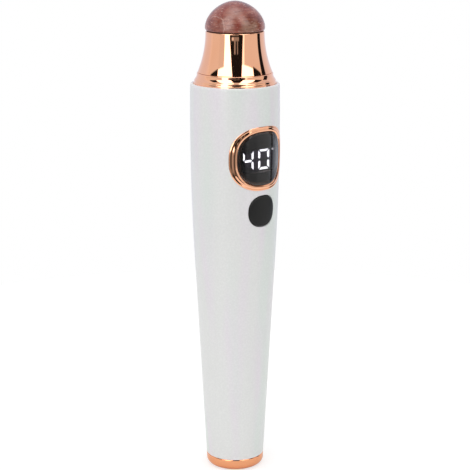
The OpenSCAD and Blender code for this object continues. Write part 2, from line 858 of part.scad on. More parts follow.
// ---- The assembly ----

handle_shell();
end_cap();
usb_socket();
usb_tongue();
charge_board();
charge_chip();
battery_holder();
battery_cell();
battery_pads();
battery_lead_red();
battery_lead_black();
charge_lead_red();
charge_lead_black();
board_carrier();
main_board();
board_screws();
control_chip();
board_chips();
led_module();
lit_segments();
dark_segments();
degree_mark();
light_gasket();
display_lens();
display_bezel();
button_cap();
switch_body();
switch_plunger();
switch_dome();
head_core();
head_screws();
trim_ring();
collar();
stone_gasket();
stone_head();
heat_spreader();
heater_film();
insulation_pad();
thermistor();
thermistor_leads();
heater_leads();
motor_sleeve();
motor_can();
motor_cap();
motor_magnet();
motor_coil();
motor_shaft();
eccentric_weight();
motor_leads();
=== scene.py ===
# %% [markdown]
# # A heated eye massager wand
# The wand is a white pearl shell with a rose-gold collar and foot, a smoked display, a black
# button and a warmed stone dome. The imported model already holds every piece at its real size, as
# plain triangles. This lesson puts smooth, finely edged pieces in the place of those that show,
# gives every piece its finish, and lights the wand as a product photograph does.

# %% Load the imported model
import math

import bpy
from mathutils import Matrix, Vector


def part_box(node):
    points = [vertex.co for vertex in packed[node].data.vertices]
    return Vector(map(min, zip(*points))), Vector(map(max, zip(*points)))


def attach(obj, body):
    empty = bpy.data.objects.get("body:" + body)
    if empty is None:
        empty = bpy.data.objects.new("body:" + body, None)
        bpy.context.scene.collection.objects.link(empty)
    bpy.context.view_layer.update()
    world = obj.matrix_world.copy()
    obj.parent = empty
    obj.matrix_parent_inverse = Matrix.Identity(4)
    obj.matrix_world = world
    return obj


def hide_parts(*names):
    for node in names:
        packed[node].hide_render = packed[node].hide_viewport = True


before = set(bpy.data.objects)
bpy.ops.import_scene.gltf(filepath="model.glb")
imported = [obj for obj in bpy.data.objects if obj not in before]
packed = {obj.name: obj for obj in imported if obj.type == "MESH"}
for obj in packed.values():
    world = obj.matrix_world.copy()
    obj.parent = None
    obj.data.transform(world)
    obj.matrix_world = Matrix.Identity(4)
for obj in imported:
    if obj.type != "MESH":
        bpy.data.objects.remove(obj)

MM = 0.001
FULL_TURN = 2 * math.pi
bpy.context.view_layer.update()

# %% [markdown]
# ## Camera
# The camera comes first, because everything is judged through it. The wand was photographed from
# a little over its top and from its left, with a long lens, so that its sides hardly converge.
# The camera's distance and height are measured from the wand's axis and its foot.

# %% The camera
CAMERA_TURN = math.radians(-39.5)
CAMERA_PITCH = math.radians(14.06)
CAMERA_DISTANCE = 427.67 * MM
CAMERA_HEIGHT = 178.28 * MM
FOCAL_LENGTH = 114.46  # in millimetres, as is the sensor's width
SENSOR_WIDTH = 36

camera = bpy.data.objects.new("camera", bpy.data.cameras.new("camera"))
bpy.context.scene.collection.objects.link(camera)
camera.data.lens = FOCAL_LENGTH
camera.data.sensor_width = SENSOR_WIDTH
camera.location = (
    CAMERA_DISTANCE * math.sin(CAMERA_TURN),
    -CAMERA_DISTANCE * math.cos(CAMERA_TURN),
    CAMERA_HEIGHT,
)
camera.rotation_euler = (math.pi / 2 - CAMERA_PITCH, 0, CAMERA_TURN)
bpy.context.scene.camera = camera
bpy.context.scene.view_settings.view_transform = "Standard"
print("the camera stands", round(CAMERA_DISTANCE, 3), "m from the wand's axis")

# %% [markdown]
# ## Node helpers
# Materials are built from nodes in code. A few small helpers keep that readable: the first adds
# any node and fills in its inputs, and the others add the kinds that come back again and again.
# Giving an input another node's output makes the link, and a plain value sets the socket.

# %% Helpers for nodes
def add_node(tree, kind, inputs=None, **settings):
    """Adds a node, applies its settings and fills or links its inputs."""
    node = tree.nodes.new(kind)
    for name, value in settings.items():
        setattr(node, name, value)
    for key, value in (inputs or {}).items():
        if isinstance(value, bpy.types.NodeSocket):
            tree.links.new(value, node.inputs[key])
        else:
            node.inputs[key].default_value = value
    return node


def add_math(tree, operation, *values):
    """Adds a Math node and returns its result."""
    inputs = dict(enumerate(values))
    return add_node(tree, "ShaderNodeMath", inputs, operation=operation).outputs[0]


def add_vector(tree, operation, *values):
    """Adds a Vector Math node. Returns its vector, or the value of a length or distance."""
    inputs = dict(enumerate(values))
    node = add_node(tree, "ShaderNodeVectorMath", inputs, operation=operation)
    return node.outputs["Value" if operation in ("LENGTH", "DISTANCE") else "Vector"]


def add_ramp(tree, factor, stops):
    """Adds a colour ramp with stops of (place, colour or grey level) and returns its colour."""
    ramp = add_node(tree, "ShaderNodeValToRGB", {"Fac": factor})
    elements = ramp.color_ramp.elements
    while len(elements) < len(stops):
        elements.new(1)
    for element, (place, colour) in zip(elements, stops):
        element.position = place
        element.color = (*colour, 1) if isinstance(colour, tuple) else (colour,) * 3 + (1,)
    return ramp.outputs["Color"]


def add_blend(tree, factor, first, second, mode="MIX"):
    """Blends two colours, each a socket or (red, green, blue), and returns the result."""
    inputs = {"Factor": factor}
    node = add_node(tree, "ShaderNodeMix", inputs, data_type="RGBA", blend_type=mode)
    for socket, colour in ((node.inputs[6], first), (node.inputs[7], second)):
        if isinstance(colour, tuple):
            socket.default_value = (*colour, 1)
        else:
            tree.links.new(colour, socket)
    return node.outputs[2]


def add_mix(tree, factor, first, second):
    """Mixes two shader nodes and returns the node that does it."""
    inputs = {0: factor, 1: first.outputs[0], 2: second.outputs[0]}
    return add_node(tree, "ShaderNodeMixShader", inputs)


def add_noise(tree, place, scale, detail, **inputs):
    """Adds a noise and returns its value. Scale is in repeats per metre."""
    inputs = {"Vector": place, "Scale": scale, "Detail": detail, **inputs}
    return add_node(tree, "ShaderNodeTexNoise", inputs).outputs["Fac"]


def object_place(tree):
    """The place on the object, in metres, where each pattern is read."""
    return add_node(tree, "ShaderNodeTexCoord").outputs["Object"]


def stretched_place(tree, share):
    """The same place with its height scaled, which draws patterns out or squeezes them."""
    inputs = {"Vector": object_place(tree), "Scale": (1, 1, share)}
    return add_node(tree, "ShaderNodeMapping", inputs).outputs[0]


# %% [markdown]
# ## Studio
# The wand stands on a white sheet in a bright white room, so the light on it is soft and even.
# Polished metal shows its surroundings and little else: the dark band down the middle of the
# collar is the unlit gap where the camera stands, between two bright panels. Glossy rays
# therefore see a room with panels and gaps in it, and all other rays see plain white.

# %% The room that surrounds the wand
ROOM_LIGHT = 0.80  # what matt surfaces see all round
FAR_WALL = 0.86  # and what polished metal sees where nothing else stands
SOFTBOX = 3.2
CEILING = 2.4
UNLIT = 0.012
COOL_WHITE = (0.88, 0.93, 1.07)  # daylight on the walls behind the wand
COOL_FROM = 102  # degrees round the room where it starts, and how soft its edge is
COOL_BLUR = 8

# What polished metal sees: (level, left, right, low, high, lean, blur). Left and right are degrees
# round the room from the camera, positive to its right. Low and high are degrees above the
# horizon. Lean is how far a thing's edges move to the right for each degree up, and blur is how
# soft they are. A later thing stands in front of an earlier one.
ROOM_THINGS = [
    (0.45, -100, -20, -91, -8, 0.0, 6),
    (0.10, -22, 28, -91, -8, 0.0, 3),
    (0.50, 28, 60, -91, -8, 0.0, 6),
    (0.70, 60, 101, -91, -8, 0.0, 8),
    (0.60, 112, 150, -91, -8, 0.0, 6),
    (UNLIT, 105, 114, -91, -7, 0.0, 1.5),
    (0.95, 122, 182, -91, 60, 0.0, 8),
    (0.95, -182, -96, -91, 60, 0.0, 8),
    (0.80, -60, -30, -8, 26, 0.0, 2),
    (SOFTBOX, -39.5, -10, -8, 27, 0.0, 0.6),
    (SOFTBOX, -60, -5, 25.5, 70, 0.0, 0.6),
    (1.8, 28, 36, -8, 26, -0.1, 0.6),
    (SOFTBOX, 20, 64, 24, 70, 0.0, 0.6),
    (UNLIT, -19.5, 8, -8, 60, 0.27, 0.6),
    (UNLIT, 0, 30, -8, 60, -0.2, 0.6),
    (UNLIT, -86, -60, 24.7, 50, 0.0, 0.6),
    (UNLIT, 65, 92, 22, 50, 0.0, 0.6),
    (UNLIT, 96, 113, -8, 24, 0.0, 1),
    (0.35, -12, 15, -3.5, 0.5, 0.0, 0.5),
    (0.9, -12.5, -5, -3, 0, 0.0, 0.5),
    (0.42, -2.8, 1.8, 0, 14, 0.0, 0.5),
    (0.32, 7.6, 11.2, 0, 14, 0.0, 0.5),
    (CEILING, -182, 182, 75, 91, 0.0, 1),
]


def place_in_room(tree):
    """The direction looked in, as degrees round the room and degrees above the horizon."""
    direction = add_node(tree, "ShaderNodeTexCoord").outputs["Generated"]
    turned = add_node(
        tree, "ShaderNodeVectorRotate", {"Vector": direction, "Angle": -CAMERA_TURN},
        rotation_type="Z_AXIS",
    )
    x, y, z = add_node(tree, "ShaderNodeSeparateXYZ", {"Vector": turned.outputs[0]}).outputs
    around = add_math(tree, "ARCTAN2", x, add_math(tree, "MULTIPLY", y, -1.0))
    above = add_math(tree, "ARCSINE", z)
    return add_math(tree, "DEGREES", around), add_math(tree, "DEGREES", above)


def soft_step(tree, value, edge, blur):
    """0 below an edge and 1 above it, with a soft change between."""
    inputs = {"Value": value, "From Min": edge - blur, "From Max": edge + blur}
    return add_node(tree, "ShaderNodeMapRange", inputs).outputs[0]


def thing_mask(tree, around, above, left, right, low, high, lean, blur):
    """1 inside a thing of the room and 0 outside it."""
    shift = add_math(tree, "MULTIPLY", above, lean)
    place = add_math(tree, "SUBTRACT", around, shift)
    inside = soft_step(tree, place, left, blur)
    for value, edge, past in ((place, right, True), (above, low, False), (above, high, True)):
        step = soft_step(tree, value, edge, min(blur, 3))
        if past:
            step = add_math(tree, "SUBTRACT", 1.0, step)
        inside = add_math(tree, "MULTIPLY", inside, step)
    return inside


# %% Build the room
def make_room():
    world = bpy.data.worlds.new("studio room")
    bpy.context.scene.world = world
    world.use_nodes = True
    tree = world.node_tree
    tree.nodes.clear()
    around, above = place_in_room(tree)
    level = FAR_WALL
    for brightness, *edges in ROOM_THINGS:
        mask = thing_mask(tree, around, above, *edges)
        inputs = {0: mask, 2: level, 3: brightness}
        level = add_node(tree, "ShaderNodeMix", inputs, data_type="FLOAT").outputs[0]
    white = {"Color": (1, 1, 1, 1)}
    behind = soft_step(tree, add_math(tree, "ABSOLUTE", around), COOL_FROM, COOL_BLUR)
    colour = add_blend(tree, behind, (1.0, 1.0, 1.0), COOL_WHITE)
    room = add_node(tree, "ShaderNodeBackground", {"Color": colour, "Strength": level})
    plain = add_node(tree, "ShaderNodeBackground", {**white, "Strength": ROOM_LIGHT})
    backdrop = add_node(tree, "ShaderNodeBackground", {**white, "Strength": 1.0})
    path = add_node(tree, "ShaderNodeLightPath").outputs
    seen = add_math(tree, "MAXIMUM", path["Is Camera Ray"], path["Is Transmission Ray"])
    lit = add_mix(tree, path["Is Glossy Ray"], plain, room)
    shown = add_mix(tree, seen, lit, backdrop)
    add_node(tree, "ShaderNodeOutputWorld", {"Surface": shown.outputs[0]})


make_room()
print("polished metal sees", len(ROOM_THINGS), "things in the room")

# %% [markdown]
# ## White sheet
# The wand stands on a round sheet of white paper. The camera and mirrors see it mixed about half
# with a white glow, so that it reaches the white of the background and keeps a soft shadow. It is
# small, so that the collar and the bezel, high above it, see the room past its edge. Close to
# the foot, mirrors see less of the glow: this is a painted shadow of the wand, drawn round its
# axis.

# %% The floor
SHEET_RADIUS = 0.22
SHEET_DROP = 0.1  # millimetres under the foot
SHEET_GLOW = 0.55  # share of the glow
GLOW_LEVEL = 1.2
PAPER_WHITE = 0.92
PAINTED_SHADOW_EDGES = (0.0085, 0.03)  # where the painted shadow of the wand on the sheet starts and ends, for mirrors
PAINTED_SHADOW_GLOW = 0.2  # the glow's share in that painted shadow

bpy.ops.object.select_all(action="DESELECT")
bpy.ops.mesh.primitive_circle_add(
    vertices=96, radius=SHEET_RADIUS, fill_type="NGON", location=(0, 0, -SHEET_DROP * MM)
)
floor = bpy.context.object
floor.name = "floor"
bpy.ops.object.transform_apply(location=True, rotation=True, scale=True)


def make_paper():
    material = bpy.data.materials.new("white paper")
    material.use_nodes = True
    tree = material.node_tree
    tree.nodes.clear()
    path = add_node(tree, "ShaderNodeLightPath").outputs
    # painted shadow: mirrors see less of the glow close to the wand's axis
    far = add_vector(tree, "LENGTH", object_place(tree))
    inputs = {0: far, 1: PAINTED_SHADOW_EDGES[0], 2: PAINTED_SHADOW_EDGES[1], 3: PAINTED_SHADOW_GLOW, 4: 1.0}
    lit = add_node(tree, "ShaderNodeMapRange", inputs).outputs[0]
    mirrored = add_math(tree, "MULTIPLY", path["Is Glossy Ray"], lit)
    seen = add_math(tree, "MAXIMUM", path["Is Camera Ray"], mirrored)
    seen = add_math(tree, "MAXIMUM", seen, path["Is Transmission Ray"])
    share = add_math(tree, "MULTIPLY", seen, SHEET_GLOW)
    paper = add_node(tree, "ShaderNodeBsdfDiffuse", {"Color": (PAPER_WHITE,) * 3 + (1,)})
    inputs = {"Color": (1, 1, 1, 1), "Strength": GLOW_LEVEL}
    both = add_mix(tree, share, paper, add_node(tree, "ShaderNodeEmission", inputs))
    add_node(tree, "ShaderNodeOutputMaterial", {"Surface": both.outputs[0]})
    return material


floor.data.materials.append(make_paper())
print("the sheet is", 2 * SHEET_RADIUS, "m across")

# %% [markdown]
# ## Lamps
# Two soft lamps shape the shell, one in front of it and one over it. A sun or a point would draw
# a hard edge between light and dark, so each is a large square panel, like a photographer's
# softbox. Mirrors don't see them, because the room has panels of its own for that.

# %% The lamps
AIM_HEIGHT = 0.08


def add_panel(name, turn, height, distance, size, power):
    """A square lamp aimed at the wand, in metres. Turn is in degrees from the camera."""
    lamp = bpy.data.objects.new(name, bpy.data.lights.new(name, "AREA"))
    bpy.context.scene.collection.objects.link(lamp)
    lamp.data.size = size
    lamp.data.energy = power
    lamp.visible_glossy = False
    around = CAMERA_TURN + math.radians(turn)
    lamp.location = (distance * math.sin(around), -distance * math.cos(around), height)
    aim = Vector((0, 0, AIM_HEIGHT)) - lamp.location
    lamp.rotation_euler = aim.to_track_quat("-Z", "Y").to_euler()


add_panel("front panel", turn=-25, height=0.5, distance=0.9, size=0.7, power=1.1)
add_panel("top panel", turn=-20, height=1.0, distance=0.12, size=0.35, power=1.6)
print("both lamps look at a height of", AIM_HEIGHT, "m")

# %% [markdown]
# ## Shell outline
# Nearly every piece sits in or on the tapered shell, so its outline is written once as a
# function. It is a straight taper that runs without a corner into a shallow crown. Heights on
# the display and the button are counted from this surface, as they are on the real mould.

# %% The shell's outline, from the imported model
def box_mm(node):
    """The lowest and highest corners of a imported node, in millimetres."""
    low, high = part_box(node)
    return low / MM, high / MM


shell_low, shell_high = box_mm("handle_shell")
FOOT_Z = shell_low.z
TOP_Z = shell_high.z
SHELL_RADIUS = shell_high.x
FOOT_RADIUS = box_mm("end_cap")[1].x
TAPER_LENGTH = 62.4
WIDE_BELOW = 11.6  # how far under its rim the shell is widest
WALL = 1.6

# The crown is a parabola, given by the radius of curvature at the widest place. The taper meets
# it with the same slope.
wide_height = TOP_Z - FOOT_Z - WIDE_BELOW
crown = (wide_height**2 - TAPER_LENGTH**2) / 2 / (SHELL_RADIUS - FOOT_RADIUS)
taper = (wide_height - TAPER_LENGTH) / crown


def shell_radius(z):
    """The shell's outer radius at a height, both in millimetres."""
    height = z - FOOT_Z
    if height < TAPER_LENGTH:
        return FOOT_RADIUS + taper * height
    return SHELL_RADIUS - (wide_height - height) ** 2 / 2 / crown


print("the shell is", round(2 * SHELL_RADIUS, 2), "mm across,", round(TOP_Z, 2), "mm high")
print("its foot is", round(2 * FOOT_RADIUS, 2), "mm across")

# %% [markdown]
# ## Building up rings
# The pieces that show are round, or rounded squares and slots, with a fine outline. By hand one
# would add a circle and then extrude and scale it again and again, up the outline. This helper
# does just that from a list of rings, so that each piece is only its outline. It is chosen over
# a Screw modifier because the same helper makes the squares and slots too.

# %% Outlines, and the helper that stacks rings
def start_clean():
    """Leaves edit mode and deselects all, since operators act on what is selected."""
    if bpy.context.object and bpy.context.object.mode != "OBJECT":
        bpy.ops.object.mode_set(mode="OBJECT")
    bpy.ops.object.select_all(action="DESELECT")


def choose(piece):
    """Selects one piece alone and makes it the active one."""
    start_clean()
    piece.select_set(True)
    bpy.context.view_layer.objects.active = piece
    return piece


def apply_place(piece):
    """Moves the place, turn and size of an object into its mesh."""
    choose(piece)
    bpy.ops.object.transform_apply(location=True, rotation=True, scale=True)
    return piece


def round_outline(width, depth, angle):
    return width / 2 * math.cos(angle), depth / 2 * math.sin(angle)


def slot_outline(width, depth, angle):
    """A slot with half-round ends."""
    x, y = depth / 2 * math.cos(angle), depth / 2 * math.sin(angle)
    return x + math.copysign((width - depth) / 2, x), y


def square_outline(power):
    """A rounded square: a power of 2 gives an ellipse, and more gives squarer corners."""

    def outline(width, depth, angle):
        c, s = math.cos(angle), math.sin(angle)
        x = width / 2 * math.copysign(abs(c) ** (2 / power), c)
        return x, depth / 2 * math.copysign(abs(s) ** (2 / power), s)

    return outline


# %% Close an outline and smooth it
def close_up(piece, ends):
    """Bridges the two open ends of a tube into a ring, or fills each end with a face."""
    bpy.ops.mesh.select_all(action="DESELECT")
    bpy.ops.mesh.select_non_manifold(
        extend=False, use_wire=False, use_boundary=True, use_multi_face=False,
        use_non_contiguous=False, use_verts=False,
    )
    if ends == "ring":
        bpy.ops.mesh.bridge_edge_loops()
    else:
        bpy.ops.mesh.fill_holes(sides=0)
    bpy.ops.mesh.select_all(action="SELECT")
    bpy.ops.mesh.normals_make_consistent(inside=False)
    bpy.ops.object.mode_set(mode="OBJECT")
    return piece


def smooth(piece, degrees=35):
    choose(piece)
    bpy.ops.object.shade_smooth_by_angle(angle=math.radians(degrees))
    return piece


def stack_rings(name, rings, outline=round_outline, ends="ring", segments=160):
    """A piece from rings of (width, depth, height) mm. A last width of 0 ends it in a point."""
    start_clean()
    width, depth, height = rings[0]
    bpy.ops.mesh.primitive_circle_add(vertices=segments, radius=MM)
    piece = bpy.context.object
    piece.name = name
    for i, vertex in enumerate(piece.data.vertices):
        x, y = outline(width, depth, FULL_TURN * (i + 0.5) / segments)
        vertex.co = Vector((x, y, height)) * MM
    bpy.ops.object.mode_set(mode="EDIT")
    bpy.ops.mesh.select_all(action="SELECT")
    for (width, depth, height), (next_width, next_depth, next_height) in zip(rings, rings[1:]):
        rise = (0, 0, (next_height - height) * MM)
        bpy.ops.mesh.extrude_region_move(TRANSFORM_OT_translate={"value": rise})
        if next_width > 0:
            share = (next_width / width, next_depth / depth, 1)
            bpy.ops.transform.resize(value=share, center_override=(0, 0, 0))
        else:
            bpy.ops.mesh.merge(type="CENTER")
    return close_up(piece, ends)


def turned(name, rows, ends="ring", segments=160):
    """A round piece, as if from a lathe, from (radius, height) rows in mm."""
    rings = [(2 * radius, 2 * radius, height) for radius, height in rows]
    return stack_rings(name, rings, ends=ends, segments=segments)


def arc(centre_r, centre_z, radius, start, end, steps=6):
    """Points of a round stretch of an outline, between two angles in degrees."""
    points = []
    for i in range(steps + 1):
        angle = math.radians(start + (end - start) * i / steps)
        points.append((centre_r + radius * math.cos(angle), centre_z + radius * math.sin(angle)))
    return points


# %% [markdown]
# ## Cutting
# Windows and slots are cut as a machinist would: a solid tool is made, set in place and taken
# out of the piece with a Boolean modifier. The modifier is applied and the tool is deleted.

# %% Boolean cuts, and a plain round post
def use_modifier(piece, kind, **settings):
    """Adds a modifier, sets it up and applies it."""
    choose(piece)
    bpy.ops.object.modifier_add(type=kind)
    modifier = piece.modifiers[-1]
    for name, value in settings.items():
        setattr(modifier, name, value)
    bpy.ops.object.modifier_apply(modifier=modifier.name)


def combine(piece, tool, operation="DIFFERENCE"):
    """Takes the tool out of the piece, or joins it on with UNION, and deletes the tool."""
    use_modifier(piece, "BOOLEAN", operation=operation, solver="EXACT", object=tool)
    bpy.data.objects.remove(tool)


def add_post(radius, low, high, place=(0, 0), vertices=48):
    """An upright round post in millimetres, to cut with or to join on."""
    start_clean()
    bpy.ops.mesh.primitive_cylinder_add(
        vertices=vertices, radius=radius * MM, depth=(high - low) * MM,
        location=(place[0] * MM, place[1] * MM, (low + high) / 2 * MM),
    )
    return apply_place(bpy.context.object)


# %% [markdown]
# ## Wrapping onto the shell
# The bezel, the lens and the button are rounded squares that follow the shell's curve. They are
# modelled flat, lying on the ground, where stacking rings is easy. Then each is laid on the
# shell: its width runs round the shell, its length up it, and its height out from the surface.

# %% Lay a flat piece on the shell
def wrap(piece, middle_z):
    """Bends a flat piece round the shell, with its middle at a height."""
    for vertex in piece.data.vertices:
        x, y, rise = vertex.co / MM
        radius = shell_radius(y + middle_z)
        turn = math.asin(x / radius)
        out = radius + rise
        vertex.co = Vector((out * math.sin(turn), -out * math.cos(turn), y + middle_z)) * MM
    return piece


def dome_rings(width, depth, height, dome, count):
    """Rings that close a face from its edge to its middle, with a slight dome."""
    rings = []
    for i in range(1, count + 1):
        share = 1 - i / count
        rings.append((width * share, depth * share, height + dome * (1 - share**2)))
    return rings


def floor_rings(width, depth, height, count):
    """The same rings from a small hole in the middle out to the edge, without a dome."""
    shares = [i / count for i in range(1, count + 1)]
    return [(width * share, depth * share, height) for share in shares]


# %% [markdown]
# ## Handle shell
# The shell is one moulding with a thin wall. It is a turned piece with an outer and an inner
# face, and two windows are cut in it: one for the display, which the bezel hides, and one for
# the button, whose edge is broken so that it catches the light.

# %% The handle shell
def middle(node):
    """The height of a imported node's middle."""
    low, high = box_mm(node)
    return (low.z + high.z) / 2


DISPLAY_Z = middle("display_bezel")
BUTTON_Z = middle("button_cap")
display_square = square_outline(2.6)
button_square = square_outline(2.35)
DISPLAY_CUT = 17.0
CUT_FROM, CUT_TO = -4, 6  # heights over the shell's surface
BUTTON_SIZE = 9.0
BUTTON_GAP = 0.15
# The edge of the button's window, from the inside out: (growth, height over the surface)
BUTTON_MOUTH = [(0, -4), (0, -0.2), (0.03, -0.09), (0.1, -0.02), (0.22, 0.05), (0.22, 3)]
RIM_ROUND = 0.5
RIM_SEAT = 0.8  # depth of the recess that takes the trim ring
RIM_BORE = 12.05
RIM_EDGE = 0.1


def shell_rows():
    """The outer face up to the rim, the seat of the trim ring, and the inner face down."""
    crown_z = FOOT_Z + TAPER_LENGTH
    low_steps, high_steps = 8, 56
    heights = [FOOT_Z + TAPER_LENGTH * i / low_steps for i in range(low_steps)]
    length = TOP_Z - RIM_ROUND - crown_z
    heights += [crown_z + length * i / high_steps for i in range(high_steps)]
    rim = shell_radius(TOP_Z)
    rows = [(shell_radius(z), z) for z in heights]
    rows += arc(rim - RIM_ROUND, TOP_Z - RIM_ROUND, RIM_ROUND, 0, 90)
    rows += [(RIM_BORE + RIM_EDGE, TOP_Z), (RIM_BORE, TOP_Z - RIM_EDGE)]
    rows += [(RIM_BORE, TOP_Z - RIM_SEAT), (rim - WALL, TOP_Z - RIM_SEAT)]
    return rows + [(shell_radius(z) - WALL, z) for z in reversed(heights[::4])]


def make_shell():
    shell = turned("pearl_shell", shell_rows(), segments=256)
    cut = [(DISPLAY_CUT, DISPLAY_CUT, rise) for rise in (CUT_FROM, CUT_TO)]
    tool = stack_rings("display cut", cut, display_square, ends="fill")
    combine(shell, wrap(tool, DISPLAY_Z))
    mouth = []
    for grow, rise in BUTTON_MOUTH:
        size = BUTTON_SIZE + 2 * (BUTTON_GAP + grow)
        mouth.append((size, size, rise))
    tool = stack_rings("button cut", mouth, button_square, ends="fill")
    combine(shell, wrap(tool, BUTTON_Z))
    return smooth(shell, 28)


shell = make_shell()
print("the shell has", len(shell.data.polygons), "faces")

# %% [markdown]
# ## End cap
# The cap is a turned cup with a rounded foot. Two pockets on either side of the socket keep its
# walls even, as in any moulding, and a slot lets the socket through. The pockets are half posts:
# a whole post is cut by a plane beside the socket, which is quicker than drawing its outline.

# %% The end cap
cap_high = box_mm("end_cap")[1]
socket_low, socket_high = box_mm("usb_socket")
SOCKET_WIDTH = 2 * socket_high.x
SOCKET_DEPTH = 2 * socket_high.y
CAP_ROUND = 2.0
SKIRT_GAP = 0.1
SKIRT_RADIUS = FOOT_RADIUS - WALL - SKIRT_GAP
SKIRT_WALL = 1.1
SKIRT_EDGE = 0.3
POCKET_LENGTH = 9
RIB = 1  # between a pocket and the socket
SEAM = 0.42  # radius of the edge where the cap meets the shell
# The way for the socket, from under the foot up: (growth, height)
SOCKET_WAY = [(0.6, -0.5), (0.35, 0), (0.15, 0.15), (0.1, 0.35), (0.1, 12)]


def slot_tool(name, levels):
    """A slot-shaped tool from (growth, height) levels round the socket."""
    rings = [(SOCKET_WIDTH + 2 * grow, SOCKET_DEPTH + 2 * grow, z) for grow, z in levels]
    return stack_rings(name, rings, slot_outline, ends="fill", segments=64)


def make_cap():
    rows = arc(FOOT_RADIUS - CAP_ROUND, CAP_ROUND, CAP_ROUND, -90, 0, steps=14)
    rows += arc(FOOT_RADIUS - SEAM, FOOT_Z - SEAM, SEAM, 0, 90, steps=9) + [(SKIRT_RADIUS, FOOT_Z)]
    rows += [(SKIRT_RADIUS, cap_high.z - SKIRT_EDGE), (SKIRT_RADIUS - SKIRT_EDGE, cap_high.z)]
    cap = turned("foot_cap", rows, ends="fill", segments=192)
    for side in (-1, 1):
        radius, high = SKIRT_RADIUS - SKIRT_WALL, FOOT_Z + POCKET_LENGTH
        pocket = add_post(radius, FOOT_Z, high, vertices=96)
        bpy.ops.object.mode_set(mode="EDIT")
        bpy.ops.mesh.select_all(action="SELECT")
        wall = (0, side * (socket_high.y + RIB) * MM, 0)
        bpy.ops.mesh.bisect(plane_co=wall, plane_no=(0, side, 0), use_fill=True, clear_inner=True)
        bpy.ops.object.mode_set(mode="OBJECT")
        combine(cap, pocket)
    combine(cap, slot_tool("slot cut", SOCKET_WAY))
    return smooth(cap, 30)


cap = make_cap()
print("the end cap has", len(cap.data.polygons), "faces")

# %% [markdown]
# ## Charging socket
# The socket is a sleeve of folded steel, and the tongue inside it carries the contacts. Its mouth
# is rolled in a little, so the stack of slots starts narrow and grows. The tongue is a bevelled
# bar on a plug that closes the sleeve's far end.

# %% The charging socket and its tongue
tongue_low, tongue_high = box_mm("usb_tongue")
SOCKET_SHEET = 0.3
TONGUE_WIDTH = 6.68
TONGUE_DEPTH = 0.7
TONGUE_EDGE = 0.15
PLUG_LENGTH = 1.2
PLUG_GAP = 0.03


def make_socket():
    low, high = socket_low.z, socket_high.z
    levels = [(-0.25, low + 0.1), (-0.15, low), (-0.06, low + 0.03), (0, low + 0.12)]
    socket = slot_tool("charging_sleeve", levels + [(0, high - 0.1), (-0.1, high)])
    bore = [(-SOCKET_SHEET, low - 1), (-SOCKET_SHEET, high + 1)]
    combine(socket, slot_tool("bore", bore))
    return smooth(socket, 30)


def make_tongue():
    low, high = tongue_low.z, tongue_high.z
    start_clean()
    bpy.ops.mesh.primitive_cube_add(size=MM, location=(0, 0, (low + high) / 2 * MM))
    tongue = bpy.context.object
    tongue.name = "charging_tongue"
    tongue.scale = (TONGUE_WIDTH, TONGUE_DEPTH, high - low)
    apply_place(tongue)
    use_modifier(tongue, "BEVEL", width=TONGUE_EDGE * MM, segments=3)
    inset = SOCKET_SHEET + PLUG_GAP
    plug = slot_tool("plug", [(-inset, high - PLUG_LENGTH), (-inset, high)])
    combine(tongue, plug, "UNION")
    return smooth(tongue, 30)


socket = make_socket()
tongue = make_tongue()
print("the socket is", round(SOCKET_WIDTH, 2), "by", round(SOCKET_DEPTH, 2), "mm")

# %% [markdown]
# ## Bezel
# The bezel is a thin plated frame: an outer lip, a shallow valley, a crest and a slope down to
# the lens. Each turn of its section is a ring of the stack. A Bevel modifier would round its
# corners too, but all by one radius, and a mirror shows each radius.

# %% The bezel
BEZEL_WIDTH = 19.1
BEZEL_HEIGHT = 18.5
LENS_SIZE = 15.4
LENS_RISE = 0.1
LENS_THICKNESS = 1.2
BEZEL_TUBE = 16.8
LEDGE_SIZE = 14.0  # the ledge that the lens sits on
LEDGE_THICKNESS = 0.35
LENS_GAP = 0.03

# The band's section from its outer edge inwards: (distance, height over the shell)
BEZEL_BAND = [
    (0.0, 0.02), (0.0, 0.09), (0.03, 0.13), (0.12, 0.155), (0.22, 0.182), (0.28, 0.195),
    (0.33, 0.19), (0.44, 0.16), (0.53, 0.135), (0.56, 0.133), (0.60, 0.143), (0.70, 0.17),
    (0.80, 0.197), (0.93, 0.232), (0.98, 0.242), (1.08, 0.244), (1.18, 0.232), (1.28, 0.205),
    (1.33, 0.175), (1.40, 0.125), (1.47, 0.085), (1.53, 0.045), (1.60, -0.06), (1.66, -0.16),
]


def make_bezel():
    rings = []
    for inward, rise in BEZEL_BAND:
        share = inward / BEZEL_BAND[-1][0]
        width = BEZEL_WIDTH + (LENS_SIZE - BEZEL_WIDTH) * share
        rings.append((width, BEZEL_HEIGHT + (LENS_SIZE - BEZEL_HEIGHT) * share, rise))
    seat = LENS_RISE - LENS_THICKNESS - LENS_GAP
    under = seat - LEDGE_THICKNESS
    section = [(LENS_SIZE, seat), (LEDGE_SIZE, seat), (LEDGE_SIZE, under)]
    section += [(BEZEL_TUBE, under), (BEZEL_TUBE, 0)]
    rings += [(size, size, rise) for size, rise in section]
    return smooth(wrap(stack_rings("bezel_band", rings, display_square), DISPLAY_Z), 40)


bezel = make_bezel()
print("the bezel is", BEZEL_WIDTH, "by", BEZEL_HEIGHT, "mm")

# %% [markdown]
# ## Lens
# The lens is a smoked window, through which the lit bars and the dark inside show. It is domed
# by a tenth of a millimetre: a flat one would mirror a single place of the room and look grey all
# over. Rings fill both faces, because one large face can't be wrapped round the shell.

# %% The lens
LENS_FIT = 0.1
LENS_DOME = 0.1
# The lens's broken edge: (how much narrower, height over the surface)
LENS_EDGE = [(0, -0.04), (0.05, 0.03), (0.2, 0.06)]


def make_lens():
    size = LENS_SIZE - LENS_FIT
    rings = floor_rings(size, size, LENS_RISE - LENS_THICKNESS, 12)
    rings += [(size - less, size - less, rise) for less, rise in LENS_EDGE]
    face, _, rise = rings[-1]
    rings += dome_rings(face, face, rise, LENS_DOME, 14)
    lens = stack_rings("smoked_window", rings, display_square, ends="fill")
    return smooth(wrap(lens, DISPLAY_Z), 30)


